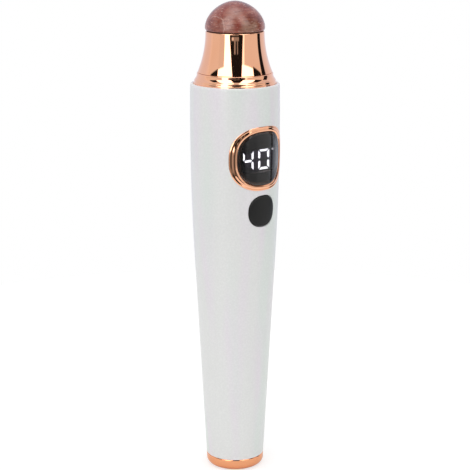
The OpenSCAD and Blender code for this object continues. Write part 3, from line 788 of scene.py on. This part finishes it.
lens = make_lens()
print("the lens has", len(lens.data.polygons), "faces")

# %% [markdown]
# ## Button
# The button is a hollow cap. Its flange catches behind the shell's wall, and the post under its
# roof pushes the switch. Its outer edge has a soft radius, which draws a thin light line. Bent
# round the shell, the cap would narrow as it goes in, and its corners would meet the switch at
# full press, so the inner wall is drawn wider the deeper it goes.

# %% The button
BUTTON_RISE = 0.25
BUTTON_DOME = 0.05
BUTTON_EDGE = 0.34
BUTTON_SHOULDER = -0.22  # where its side starts to round over
BUTTON_ROOF = 1.4
BUTTON_WALL = 1.2
FLANGE_REACH = 0.8
FLANGE_THICKNESS = 0.8
FLANGE_GAP = 0.1  # between the flange and the shell's inner face
POST_RADIUS = 1.3
POST_GAP = 0.02  # over the switch's plunger
POST_ROOT = 0.2  # how far the post goes into the roof


def straight(width, height):
    """The width to draw at a height so that the wrapped wall stays straight."""
    radius = shell_radius(BUTTON_Z)
    return width * radius / (radius + height)


def make_button():
    size, inner = BUTTON_SIZE, BUTTON_SIZE - 2 * BUTTON_WALL
    flange = size + 2 * FLANGE_REACH
    top = -WALL - FLANGE_GAP
    bottom = top - FLANGE_THICKNESS
    roof = BUTTON_RISE - BUTTON_ROOF
    rings = floor_rings(straight(inner, roof), inner, roof, 6)
    rings += [(straight(inner, bottom), inner, bottom), (flange, flange, bottom)]
    rings += [(flange, flange, top), (size, size, top), (size, size, BUTTON_SHOULDER)]
    face = BUTTON_RISE - BUTTON_DOME
    steps = 7
    for i in range(1, steps + 1):
        angle = math.radians(90 * i / steps)
        width = size - 2 * BUTTON_EDGE * (1 - math.cos(angle))
        rise = BUTTON_SHOULDER + (face - BUTTON_SHOULDER) * math.sin(angle)
        rings.append((width, width, rise))
    rings += dome_rings(width, width, face, BUTTON_DOME, 12)
    button = wrap(stack_rings("press_button", rings, button_square, ends="fill"), BUTTON_Z)
    tip = -box_mm("switch_plunger")[0].y + POST_GAP
    post = add_post(POST_RADIUS, tip, shell_radius(BUTTON_Z) + roof + POST_ROOT)
    for vertex in post.data.vertices:
        vertex.co = Vector((vertex.co.x, -vertex.co.z, vertex.co.y + BUTTON_Z * MM))
    combine(button, post, "UNION")
    return smooth(button, 35)


button = make_button()
print("the button has", len(button.data.polygons), "faces")

# %% [markdown]
# ## Collar
# The collar flares in one long arc, which starts upright at its top. It is turned, and three
# bosses for its screws are joined on inside. Mirror plating shows every corner as a dark or
# bright line, so the small radii of its edges matter as much as its large one.

# %% The collar
collar_high = box_mm("collar")[1]
ring_high = box_mm("trim_ring")[1]
COLLAR_TOP = 8.45
COLLAR_LOW = 10.8
COLLAR_WALL = 1.3
COLLAR_EDGE = 0.2
# The collar's lower edge: (how far inside the flare's foot, height over the trim ring)
COLLAR_TUCK = [(0.3, 0), (0.06, 0.02)]
TUCK_HEIGHT = 0.07
SCREW_CIRCLE = 7.75
SCREW_TURNS = (30, 150, 270)
BOSS_RADIUS = 1.25
BOSS_LOW = TOP_Z + 2.2
BOSS_HEIGHT = 5.6


def flare_radius(z):
    """The collar's outer radius at a height, on an arc that is upright at its top."""
    height = collar_high.z - ring_high.z
    spread = COLLAR_LOW - COLLAR_TOP
    flare = (height**2 + spread**2) / 2 / spread
    return COLLAR_TOP + flare - math.sqrt(flare**2 - (collar_high.z - z) ** 2)


def make_collar():
    steps = 48
    low, high = ring_high.z + TUCK_HEIGHT, collar_high.z - COLLAR_EDGE
    heights = [low + (high - low) * i / steps for i in range(steps)]
    foot = flare_radius(ring_high.z)
    rows = [(foot - inward, ring_high.z + rise) for inward, rise in COLLAR_TUCK]
    rows += [(flare_radius(z), z) for z in heights]
    rows += arc(COLLAR_TOP - COLLAR_EDGE, high, COLLAR_EDGE, 0, 90, steps=5)
    rows += [(COLLAR_TOP - COLLAR_WALL, collar_high.z)]
    rows += [(flare_radius(z) - COLLAR_WALL, z) for z in reversed(heights[::6])]
    collar = turned("flared_collar", rows, segments=192)
    for degrees in SCREW_TURNS:
        turn = math.radians(degrees)
        place = (SCREW_CIRCLE * math.cos(turn), SCREW_CIRCLE * math.sin(turn))
        boss = add_post(BOSS_RADIUS, BOSS_LOW, BOSS_LOW + BOSS_HEIGHT, place)
        combine(collar, boss, "UNION")
    return smooth(collar, 30)


collar = make_collar()
print("the collar ends at", round(collar_high.z, 2), "mm")

# %% [markdown]
# ## Trim ring
# The ring sits in the shell's rim and leads up to the collar. Over a thin flange it climbs in two
# coves with a step between them. The coves are written out point by point: a mirror bends its
# picture with every change of slope, and even rows keep that picture smooth.

# %% The trim ring
RING_BORE = 9.3
RING_FOOT = 12.0
RING_FOOT_HEIGHT = 0.1
# The flange's upper edge: the radius and height of its middle, and its own radius
RING_FLANGE = (11.85, 0.14, 0.14)

# Its section over the shell's rim, from the flange's edge up to the collar: (radius, height)
RING_STEPS = [
    (11.87, 0.38), (11.84, 0.42), (11.81, 0.47), (11.78, 0.53), (11.75, 0.60), (11.747, 0.66),
    (11.743, 0.80), (11.74, 0.88), (11.72, 0.96), (11.68, 1.03), (11.62, 1.10), (11.555, 1.18),
    (11.55, 1.26), (11.48, 1.34), (11.41, 1.43), (11.345, 1.52), (11.28, 1.62), (11.22, 1.73),
    (11.165, 1.84), (11.12, 1.95), (11.08, 2.06), (11.04, 2.18), (11.01, 2.28), (11.007, 2.33),
    (11.003, 2.45), (10.997, 2.70), (10.995, 2.80), (10.98, 2.87), (10.94, 2.95), (10.87, 3.01),
    (10.78, 3.06), (10.6, 3.09),
]


def make_trim_ring():
    rows = [(RING_BORE, -RIM_SEAT), (RING_FOOT, -RIM_SEAT)]
    rows += [(RING_FOOT, RING_FOOT_HEIGHT)] + arc(*RING_FLANGE, 0, 80, steps=5) + RING_STEPS
    rows += [(RING_BORE, ring_high.z - TOP_Z)]
    rows = [(radius, TOP_Z + height) for radius, height in rows]
    return smooth(turned("stepped_ring", rows, segments=192), 30)


trim_ring = make_trim_ring()
print("the trim ring ends at", round(ring_high.z, 2), "mm")

# %% [markdown]
# ## Stone
# The stone is a cabochon: a little more pointed than half a ball, with a tucked and rounded
# lower edge, and a spigot that is glued into the collar. A thin dark seal lies under its edge.

# %% The stone and its seal
stone_low, stone_high = box_mm("stone_head")
seal_low, seal_high = box_mm("stone_gasket")
STONE_RADIUS = stone_high.x
STONE_EDGE = 0.8
DOME_POWER = 1.8  # 2 would be an ellipse, and less is more pointed
TIP_DROP = 0.01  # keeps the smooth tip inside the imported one
SPIGOT_GAP = 0.35
SPIGOT_EDGE = 0.2
SEAL_EDGE = (0.06, 0.08)  # how far its edges are taken off, inwards and along


def make_stone():
    base = seal_high.z
    dome = stone_high.z - base - STONE_EDGE - TIP_DROP
    spigot = COLLAR_TOP - COLLAR_WALL - SPIGOT_GAP
    rows = [(spigot - SPIGOT_EDGE, stone_low.z), (spigot, stone_low.z + SPIGOT_EDGE)]
    rows += [(spigot, base)]
    steps = 10
    for i in range(steps):
        angle = math.radians(90 * i / steps)
        tuck = STONE_EDGE / 2 * (1 - math.sin(angle))
        rows.append((STONE_RADIUS - tuck, base + STONE_EDGE * (1 - math.cos(angle))))
    steps = 48
    for i in range(steps):
        angle = math.radians(90 * i / steps)
        across = STONE_RADIUS * math.cos(angle) ** (2 / DOME_POWER)
        rows.append((across, base + STONE_EDGE + dome * math.sin(angle) ** (2 / DOME_POWER)))
    rows.append((0, base + STONE_EDGE + dome))
    return smooth(turned("stone_dome", rows, ends="fill", segments=144), 40)


def make_seal():
    inner, outer = COLLAR_TOP - COLLAR_WALL, seal_high.x
    low, high = seal_low.z, seal_high.z
    across, along = SEAL_EDGE
    rows = [(inner, low), (outer - across, low), (outer, low + along)]
    rows += [(outer, high - along), (outer - across, high), (inner, high)]
    return smooth(turned("stone_seal", rows))


stone = make_stone()
seal = make_seal()
print("the stone has", len(stone.data.polygons), "faces")

# %% [markdown]
# ## Put the pieces in place
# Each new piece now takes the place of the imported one. It rides on the body that carries it, so
# that the button moves in when it is pressed, and everything else stays with the handle.

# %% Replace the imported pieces
NEW_PIECES = [
    (shell, "handle_shell", "handle", "pearl_shell"),
    (cap, "end_cap", "handle", "rose_gold"),
    (socket, "usb_socket", "handle", "steel"),
    (tongue, "usb_tongue", "handle", "socket_black"),
    (bezel, "display_bezel", "handle", "rose_gold"),
    (lens, "display_lens", "handle", "smoked_lens"),
    (button, "button_cap", "button", "button_black"),
    (collar, "collar", "handle", "rose_gold"),
    (trim_ring, "trim_ring", "handle", "rose_gold"),
    (stone, "stone_head", "handle", "stone"),
    (seal, "stone_gasket", "handle", "black_rubber"),
]
for piece, node, body, slot in NEW_PIECES:
    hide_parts(node)
    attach(piece, body)
print(len(NEW_PIECES), "pieces stand for packed ones")

# %% [markdown]
# ## Patterns that finishes share
# Moulded plastic, plating, board and wire all have a fine grain, and most finishes have soft
# marks where they shine a little more or less. Each of these is made once as a node group and
# then used in many finishes with other values.

# %% Node groups
def new_group(name, inputs, output):
    """A node group with inputs of (name, value) and one output. Returns it, its start and end."""
    group = bpy.data.node_groups.new(name, "ShaderNodeTree")
    for socket, value in inputs:
        made = group.interface.new_socket(socket, in_out="INPUT", socket_type="NodeSocketFloat")
        made.default_value = value
    group.interface.new_socket(output, in_out="OUTPUT", socket_type="NodeSocketFloat")
    start = add_node(group, "NodeGroupInput").outputs
    return group, start, add_node(group, "NodeGroupOutput")


def make_grain():
    """Fine grain. Scale is in repeats per metre, and Height is for a Bump node."""
    inputs = [("Scale", 2000.0), ("Roughness", 0.5)]
    group, start, end = new_group("fine grain", inputs, "Height")
    noise = add_noise(
        group, object_place(group), start["Scale"], 3.0, Roughness=start["Roughness"]
    )
    group.links.new(noise, end.inputs["Height"])
    return group


def make_marks():
    """Soft marks of handling: a value that wanders between Low and High."""
    inputs = [("Scale", 200.0), ("Low", 0.2), ("High", 0.3)]
    group, start, end = new_group("soft marks", inputs, "Value")
    noise = add_noise(group, object_place(group), start["Scale"], 2.0)
    inputs = {0: noise, 1: 0.3, 2: 0.7, 3: start["Low"], 4: start["High"]}
    spread = add_node(group, "ShaderNodeMapRange", inputs)
    group.links.new(spread.outputs[0], end.inputs["Value"])
    return group


GRAIN = make_grain()
MARKS = make_marks()
print("finishes share the groups", GRAIN.name, "and", MARKS.name)


def grain(tree, scale, strength, distance):
    """A normal that carries fine grain, distance in millimetres deep."""
    height = add_node(tree, "ShaderNodeGroup", node_tree=GRAIN)
    height.inputs["Scale"].default_value = scale
    inputs = {"Height": height.outputs["Height"], "Strength": strength, "Distance": distance * MM}
    return add_node(tree, "ShaderNodeBump", inputs).outputs["Normal"]


def marks(tree, scale, low, high):
    """A value that wanders between low and high, over marks of a size set by scale."""
    node = add_node(tree, "ShaderNodeGroup", node_tree=MARKS)
    for name, value in (("Scale", scale), ("Low", low), ("High", high)):
        node.inputs[name].default_value = value
    return node.outputs["Value"]


# %% A new finish
def new_finish(name, **values):
    """A material with a Principled shader. Values are socket names with _ for spaces."""
    material = bpy.data.materials.new(name)
    material.use_nodes = True
    tree = material.node_tree
    shader = tree.nodes["Principled BSDF"]
    for key, value in values.items():
        shader.inputs[key.replace("_", " ")].default_value = value
    return material, tree, shader


def feed(tree, shader, **sockets):
    """Links outputs to the shader's inputs, by the input's name with _ for spaces."""
    for key, socket in sockets.items():
        tree.links.new(socket, shader.inputs[key.replace("_", " ")])


# %% [markdown]
# ## Pearl lacquer
# Pearl paint is white paint with flat mica flakes in it, under a clear coat. Where the flakes
# lie a little differently, the white leans to pink or to green, and close up some of them
# sparkle. The spray gun moved along the wand, so the tints run that way: two noises are drawn
# out along it. A fine one gives the sparkle, and a coat covers them.

# %% The pearl lacquer
PEARL_WHITE = (0.775, 0.78, 0.768)
PEARL_PINK = (0.785, 0.75, 0.785)
PEARL_GREEN = (0.745, 0.785, 0.755)


def make_pearl():
    material, tree, shader = new_finish(
        "pearl lacquer", Roughness=0.42, IOR=1.45, Coat_Weight=0.2, Coat_Roughness=0.1
    )
    drawn = stretched_place(tree, 0.15)
    pink = add_ramp(tree, add_noise(tree, drawn, 120.0, 1.5), [(0.44, 0.0), (0.58, 1.0)])
    colour = add_blend(tree, pink, PEARL_WHITE, PEARL_PINK)
    green = add_ramp(tree, add_noise(tree, drawn, 95.0, 1.5), [(0.5, 0.0), (0.62, 1.0)])
    colour = add_blend(tree, green, colour, PEARL_GREEN)
    flakes = add_noise(tree, object_place(tree), 1900.0, 1.0)
    sparkle = add_ramp(tree, flakes, [(0.3, 0.97), (0.5, 0.99), (0.7, 1.02)])
    colour = add_blend(tree, 1.0, colour, sparkle, "MULTIPLY")
    feed(tree, shader, Base_Color=colour, Normal=grain(tree, 2300.0, 0.1, 0.015))
    return material


# %% [markdown]
# ## Rose-gold plating
# The plating is a mirror, so its colour comes from what it reflects times the metal's own tint.
# It is not a perfect mirror: faint smears change its gloss from place to place.

# %% The rose-gold plating
ROSE_GOLD = (0.94, 0.50, 0.315)
ROSE_GOLD_DEEP = (0.92, 0.46, 0.275)
FOOT_GOLD = (0.86, 0.375, 0.19)
BLEND_HEIGHT = 0.05  # metres
FOOT_BLEND = [(0.2, 1.0), (0.6, 0.0)]  # (height as a share of that, how much of FOOT_GOLD)


def make_rose_gold():
    """The plating is paler on the head, and darker and more orange towards the foot."""
    material, tree, shader = new_finish("rose gold plating", Metallic=1.0)
    tint = add_ramp(tree, marks(tree, 90.0, 0.0, 1.0), [(0.0, ROSE_GOLD), (1.0, ROSE_GOLD_DEEP)])
    height = add_node(tree, "ShaderNodeSeparateXYZ", {"Vector": object_place(tree)}).outputs["Z"]
    low = add_ramp(tree, add_math(tree, "DIVIDE", height, BLEND_HEIGHT), FOOT_BLEND)
    tint = add_blend(tree, low, tint, FOOT_GOLD)
    feed(tree, shader, Base_Color=tint, Roughness=marks(tree, 260.0, 0.03, 0.07))
    return material


# %% [markdown]
# ## Stone
# The stone is a red-brown jasper-like stone, ground on a turning wheel. Layers and the wheel's
# marks run round it, and patches of grey, olive and brick lie under them, some with a pale vein
# along their edge. Noise that is squeezed along the axis gives the layers. Each patch is a soft
# ball round a place on the dome, and noise moves the place that is measured, which frays it.

# %% The stone
STONE_DARK = (0.15, 0.022, 0.012)
STONE_RED = (0.24, 0.045, 0.028)
STONE_LIGHT = (0.38, 0.13, 0.088)
STONE_GREY = (0.34, 0.165, 0.13)
STONE_OLIVE = (0.24, 0.14, 0.085)
STONE_BRICK = (0.20, 0.05, 0.035)
STONE_PALE = (0.66, 0.44, 0.38)
VEIN_REACH = 0.92  # where a vein lies, as a share of its patch's radius

# Patches of the stone: (degrees round the wand from its front, height under the tip in mm,
# radius in mm, colour).
STONE_PATCHES = [
    (-41, 2.8, 3.4, STONE_GREY),
    (-55, 6.2, 2.8, STONE_GREY),
    (-8, 6.9, 3.6, STONE_OLIVE),
    (-81, 7.0, 3.7, STONE_BRICK),
    (-6, 4.2, 2.4, STONE_DARK),
    (95, 5.0, 4.0, STONE_GREY),
    (160, 3.0, 3.0, STONE_OLIVE),
    (205, 6.5, 3.5, STONE_BRICK),
]


def dome_point(degrees, below_tip):
    """A place on the stone's dome, in metres."""
    dome = stone_high.z - seal_high.z - STONE_EDGE
    share = max(0.0, 1 - below_tip / dome)
    across = STONE_RADIUS * (1 - share**DOME_POWER) ** (1 / DOME_POWER)
    turn = math.radians(degrees)
    place = (across * math.sin(turn), -across * math.cos(turn), stone_high.z - below_tip)
    return tuple(v * MM for v in place)


def frayed_place(tree, place, scale, amount):
    """The place moved about by noise, by an amount in millimetres, so that edges turn ragged."""
    inputs = {"Vector": place, "Scale": scale, "Detail": 4.0}
    noise = add_node(tree, "ShaderNodeTexNoise", inputs).outputs["Color"]
    amount = amount * MM
    push = add_vector(tree, "MULTIPLY_ADD", noise, (amount,) * 3, (-amount / 2,) * 3)
    return add_vector(tree, "ADD", place, push)


def make_stone_finish():
    material, tree, shader = new_finish(
        "polished stone", IOR=1.5, Coat_Weight=0.2, Coat_Roughness=0.08,
        Sheen_Weight=0.05, Sheen_Roughness=0.25,
    )
    place = object_place(tree)

    def lay(colour, factor, stops, shade):
        """Lays a shade over the colour, as strong as the ramp says."""
        return add_blend(tree, add_ramp(tree, factor, stops), colour, shade)

    clouds = add_noise(tree, place, 150.0, 4.0, Distortion=0.8)
    colour = add_ramp(tree, clouds, [(0.36, STONE_DARK), (0.48, STONE_RED), (0.64, STONE_LIGHT)])
    ragged = frayed_place(tree, place, 260.0, 3.2)
    for degrees, below_tip, radius, shade in STONE_PATCHES:
        far = add_vector(tree, "DISTANCE", ragged, dome_point(degrees, below_tip))
        reach = add_math(tree, "DIVIDE", far, radius * MM)
        colour = lay(colour, reach, [(0.5, 0.75), (1.0, 0.0)], shade)
        if shade == STONE_BRICK:
            edge = add_math(tree, "ABSOLUTE", add_math(tree, "SUBTRACT", reach, VEIN_REACH))
            vein = add_ramp(tree, edge, [(0.01, 0.75), (0.045, 0.0)])
            gaps = add_ramp(tree, clouds, [(0.44, 0.15), (0.52, 1.0)])
            colour = add_blend(tree, add_math(tree, "MULTIPLY", vein, gaps), colour, STONE_PALE)
    squeezed = stretched_place(tree, 7)
    layers = add_noise(tree, squeezed, 260.0, 7.0, Roughness=0.8, Distortion=0.5)
    colour = lay(colour, layers, [(0.5, 0.0), (0.64, 0.85)], STONE_LIGHT)
    colour = lay(colour, layers, [(0.37, 0.85), (0.48, 0.0)], STONE_DARK)
    flecks = add_noise(tree, squeezed, 900.0, 2.0)
    colour = lay(colour, flecks, [(0.62, 0.0), (0.72, 0.7)], STONE_PALE)
    feed(tree, shader, Base_Color=colour, Roughness=marks(tree, 500.0, 0.22, 0.36))
    return material


# %% [markdown]
# ## Lens, bars and button
# The lens is dark grey glass. The lit bars behind it shine by themselves, and the face of the
# display round them has a faint painted glow of their stray light. The button is satin black
# plastic.

# %% The lens, the bars and the display
LIT_BARS = 7.5
DIM_RING = 2.2  # the degree ring is lit through a much smaller opening than the bars
PAINTED_GLOW_REACH = (7.5, 5.5)  # millimetres that the painted glow spreads from the middle, across and up


def make_smoked_lens():
    material, tree, shader = new_finish(
        "smoked glass", Base_Color=(0.2, 0.2, 0.205, 1), IOR=1.49, Transmission_Weight=1.0
    )
    feed(tree, shader, Roughness=marks(tree, 300.0, 0.0, 0.02))
    return material


def make_lit_bars(name, strength):
    material, tree, shader = new_finish(
        name, Base_Color=(0.6, 0.6, 0.62, 1), Roughness=0.5, Emission_Strength=strength
    )
    stops = [(0.0, (0.93, 0.9, 1.0)), (1.0, (1.0, 0.98, 1.0))]
    glow = add_ramp(tree, marks(tree, 900.0, 0.0, 1.0), stops)
    feed(tree, shader, Emission_Color=glow)
    return material


def make_display_face():
    material, tree, shader = new_finish("display face", Roughness=0.6, Emission_Strength=0.35)
    across, up = PAINTED_GLOW_REACH
    from_middle = add_vector(tree, "SUBTRACT", object_place(tree), (0, 0, DISPLAY_Z * MM))
    share = add_vector(tree, "MULTIPLY", from_middle, (1 / (across * MM), 0, 1 / (up * MM)))
    far = add_vector(tree, "LENGTH", share)
    # painted glow: emission on the display face that fades out from its middle
    painted_glow = add_ramp(tree, far, [(0.3, (0.16, 0.09, 0.22)), (1.0, (0, 0, 0))])
    dark = add_ramp(tree, marks(tree, 600.0, 0.0, 1.0), [(0.0, 0.004), (1.0, 0.008)])
    feed(tree, shader, Base_Color=dark, Emission_Color=painted_glow)
    return material


# %% [markdown]
# ## Everyday finishes
# The other pieces are moulded plastics, metals, boards, films and wires. They differ in colour,
# gloss and grain only, so a short recipe serves each: two near shades that wander, a roughness
# that wanders, and a grain of the right size.

# %% Recipes for plastics, metals, boards and wires
def make_plain(
    name, colour, shade=0.85, gloss=(0.4, 0.55), grain_size=1500.0, depth=0.01, **values
):
    """A finish whose colour wanders down to a share of itself."""
    material, tree, shader = new_finish(name, **values)
    darker = tuple(part * shade for part in colour)
    tint = add_ramp(tree, marks(tree, 350.0, 0.0, 1.0), [(0.0, colour), (1.0, darker)])
    feed(tree, shader, Base_Color=tint, Roughness=marks(tree, 420.0, *gloss))
    feed(tree, shader, Normal=grain(tree, grain_size, 0.35, depth))
    return material


def make_metal(name, colour, gloss=(0.2, 0.32), grain_size=2500.0):
    return make_plain(name, colour, 0.88, gloss, grain_size, 0.004, Metallic=1.0)


def make_board():
    """A printed board: green lacquer over tracks that show as lighter lines."""
    material, tree, shader = new_finish("green board", Coat_Weight=0.4, Coat_Roughness=0.2)
    inputs = {"Vector": object_place(tree), "Scale": 900.0}
    tracks = add_node(tree, "ShaderNodeTexVoronoi", inputs, distance="MANHATTAN")
    stops = [(0.35, (0.008, 0.09, 0.03)), (0.4, (0.02, 0.17, 0.06))]
    colour = add_ramp(tree, tracks.outputs["Distance"], stops)
    feed(tree, shader, Base_Color=colour, Roughness=marks(tree, 500.0, 0.35, 0.5))
    return material


def make_copper_winding():
    """Enamelled wire wound round the axis, so its turns show as fine rings."""
    material, tree, shader = new_finish("copper winding", Metallic=1.0)
    inputs = {"Vector": object_place(tree), "Scale": 3200.0}
    turns = add_node(tree, "ShaderNodeTexWave", inputs, bands_direction="Z").outputs["Fac"]
    colour = add_ramp(tree, turns, [(0.2, (0.35, 0.1, 0.03)), (0.8, (0.8, 0.3, 0.13))])
    inputs = {"Height": turns, "Distance": 0.05 * MM, "Strength": 0.5}
    bump = add_node(tree, "ShaderNodeBump", inputs)
    feed(tree, shader, Base_Color=colour, Normal=bump.outputs["Normal"])
    feed(tree, shader, Roughness=marks(tree, 500.0, 0.25, 0.4))
    return material


# %% The finishes, by the record's slots
FINISHES = {
    "pearl_shell": make_pearl(),
    "rose_gold": make_rose_gold(),
    "stone": make_stone_finish(),
    "smoked_lens": make_smoked_lens(),
    "lit_segment": make_lit_bars("lit bars", LIT_BARS),
    "display_black": make_display_face(),
    "dark_segment": make_plain("unlit bars", (0.02, 0.02, 0.022)),
    "button_black": make_plain("satin black", (0.009, 0.009, 0.0085), gloss=(0.3, 0.38), IOR=1.36),
    "black_rubber": make_plain("black rubber", (0.07, 0.03, 0.02), gloss=(0.6, 0.75), depth=0.02),
    "grey_plastic": make_plain("grey plastic", (0.18, 0.18, 0.19), depth=0.02),
    "white_plastic": make_plain("natural nylon", (0.7, 0.69, 0.65), 0.92),
    "socket_black": make_plain("socket black", (0.012, 0.012, 0.013)),
    "switch_black": make_plain("switch black", (0.015, 0.015, 0.016)),
    "plunger_red": make_plain("plunger red", (0.45, 0.03, 0.02)),
    "chip_black": make_plain("chip epoxy", (0.02, 0.02, 0.022), gloss=(0.5, 0.65), depth=0.02),
    "small_parts": make_plain("fired ceramic", (0.35, 0.24, 0.15)),
    "battery_wrap": make_plain("shrink wrap", (0.05, 0.2, 0.42), gloss=(0.25, 0.4)),
    "heater": make_plain("amber film", (0.6, 0.24, 0.04), gloss=(0.2, 0.35)),
    "insulation": make_plain("fibre pad", (0.68, 0.64, 0.55), gloss=(0.8, 0.95), depth=0.06),
    "thermistor": make_plain("glass bead", (0.25, 0.1, 0.04), gloss=(0.12, 0.2)),
    "steel": make_metal("bright steel", (0.62, 0.61, 0.6)),
    "weight_metal": make_metal("sintered weight", (0.32, 0.31, 0.3), gloss=(0.4, 0.55)),
    "magnet": make_metal("ground magnet", (0.24, 0.24, 0.25), gloss=(0.35, 0.5)),
    "spreader": make_metal("rolled aluminium", (0.8, 0.8, 0.8), gloss=(0.25, 0.4)),
    "board_green": make_board(),
    "copper_winding": make_copper_winding(),
}
WIRES = {
    "red": (0.5, 0.02, 0.02), "black": (0.02, 0.02, 0.02),
    "yellow": (0.62, 0.42, 0.05), "blue": (0.03, 0.1, 0.42),
}
for name, colour in WIRES.items():
    FINISHES["wire_" + name] = make_plain(name + " wire", colour, gloss=(0.35, 0.5))
print(len(FINISHES), "finishes")

# %% [markdown]
# ## Give every piece its finish
# The new pieces take the finish of their slot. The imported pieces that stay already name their
# slot in their only material, so the same table serves them.

# %% Assign the finishes
for piece, *_, slot in NEW_PIECES:
    piece.data.materials.clear()
    piece.data.materials.append(FINISHES[slot])

for node in packed.values():
    for held in node.material_slots:
        held.material = FINISHES[held.material.name]
packed["degree_mark"].material_slots[0].material = make_lit_bars("dim ring", DIM_RING)
print(len(NEW_PIECES), "new pieces and", len(packed), "packed ones have their finish")
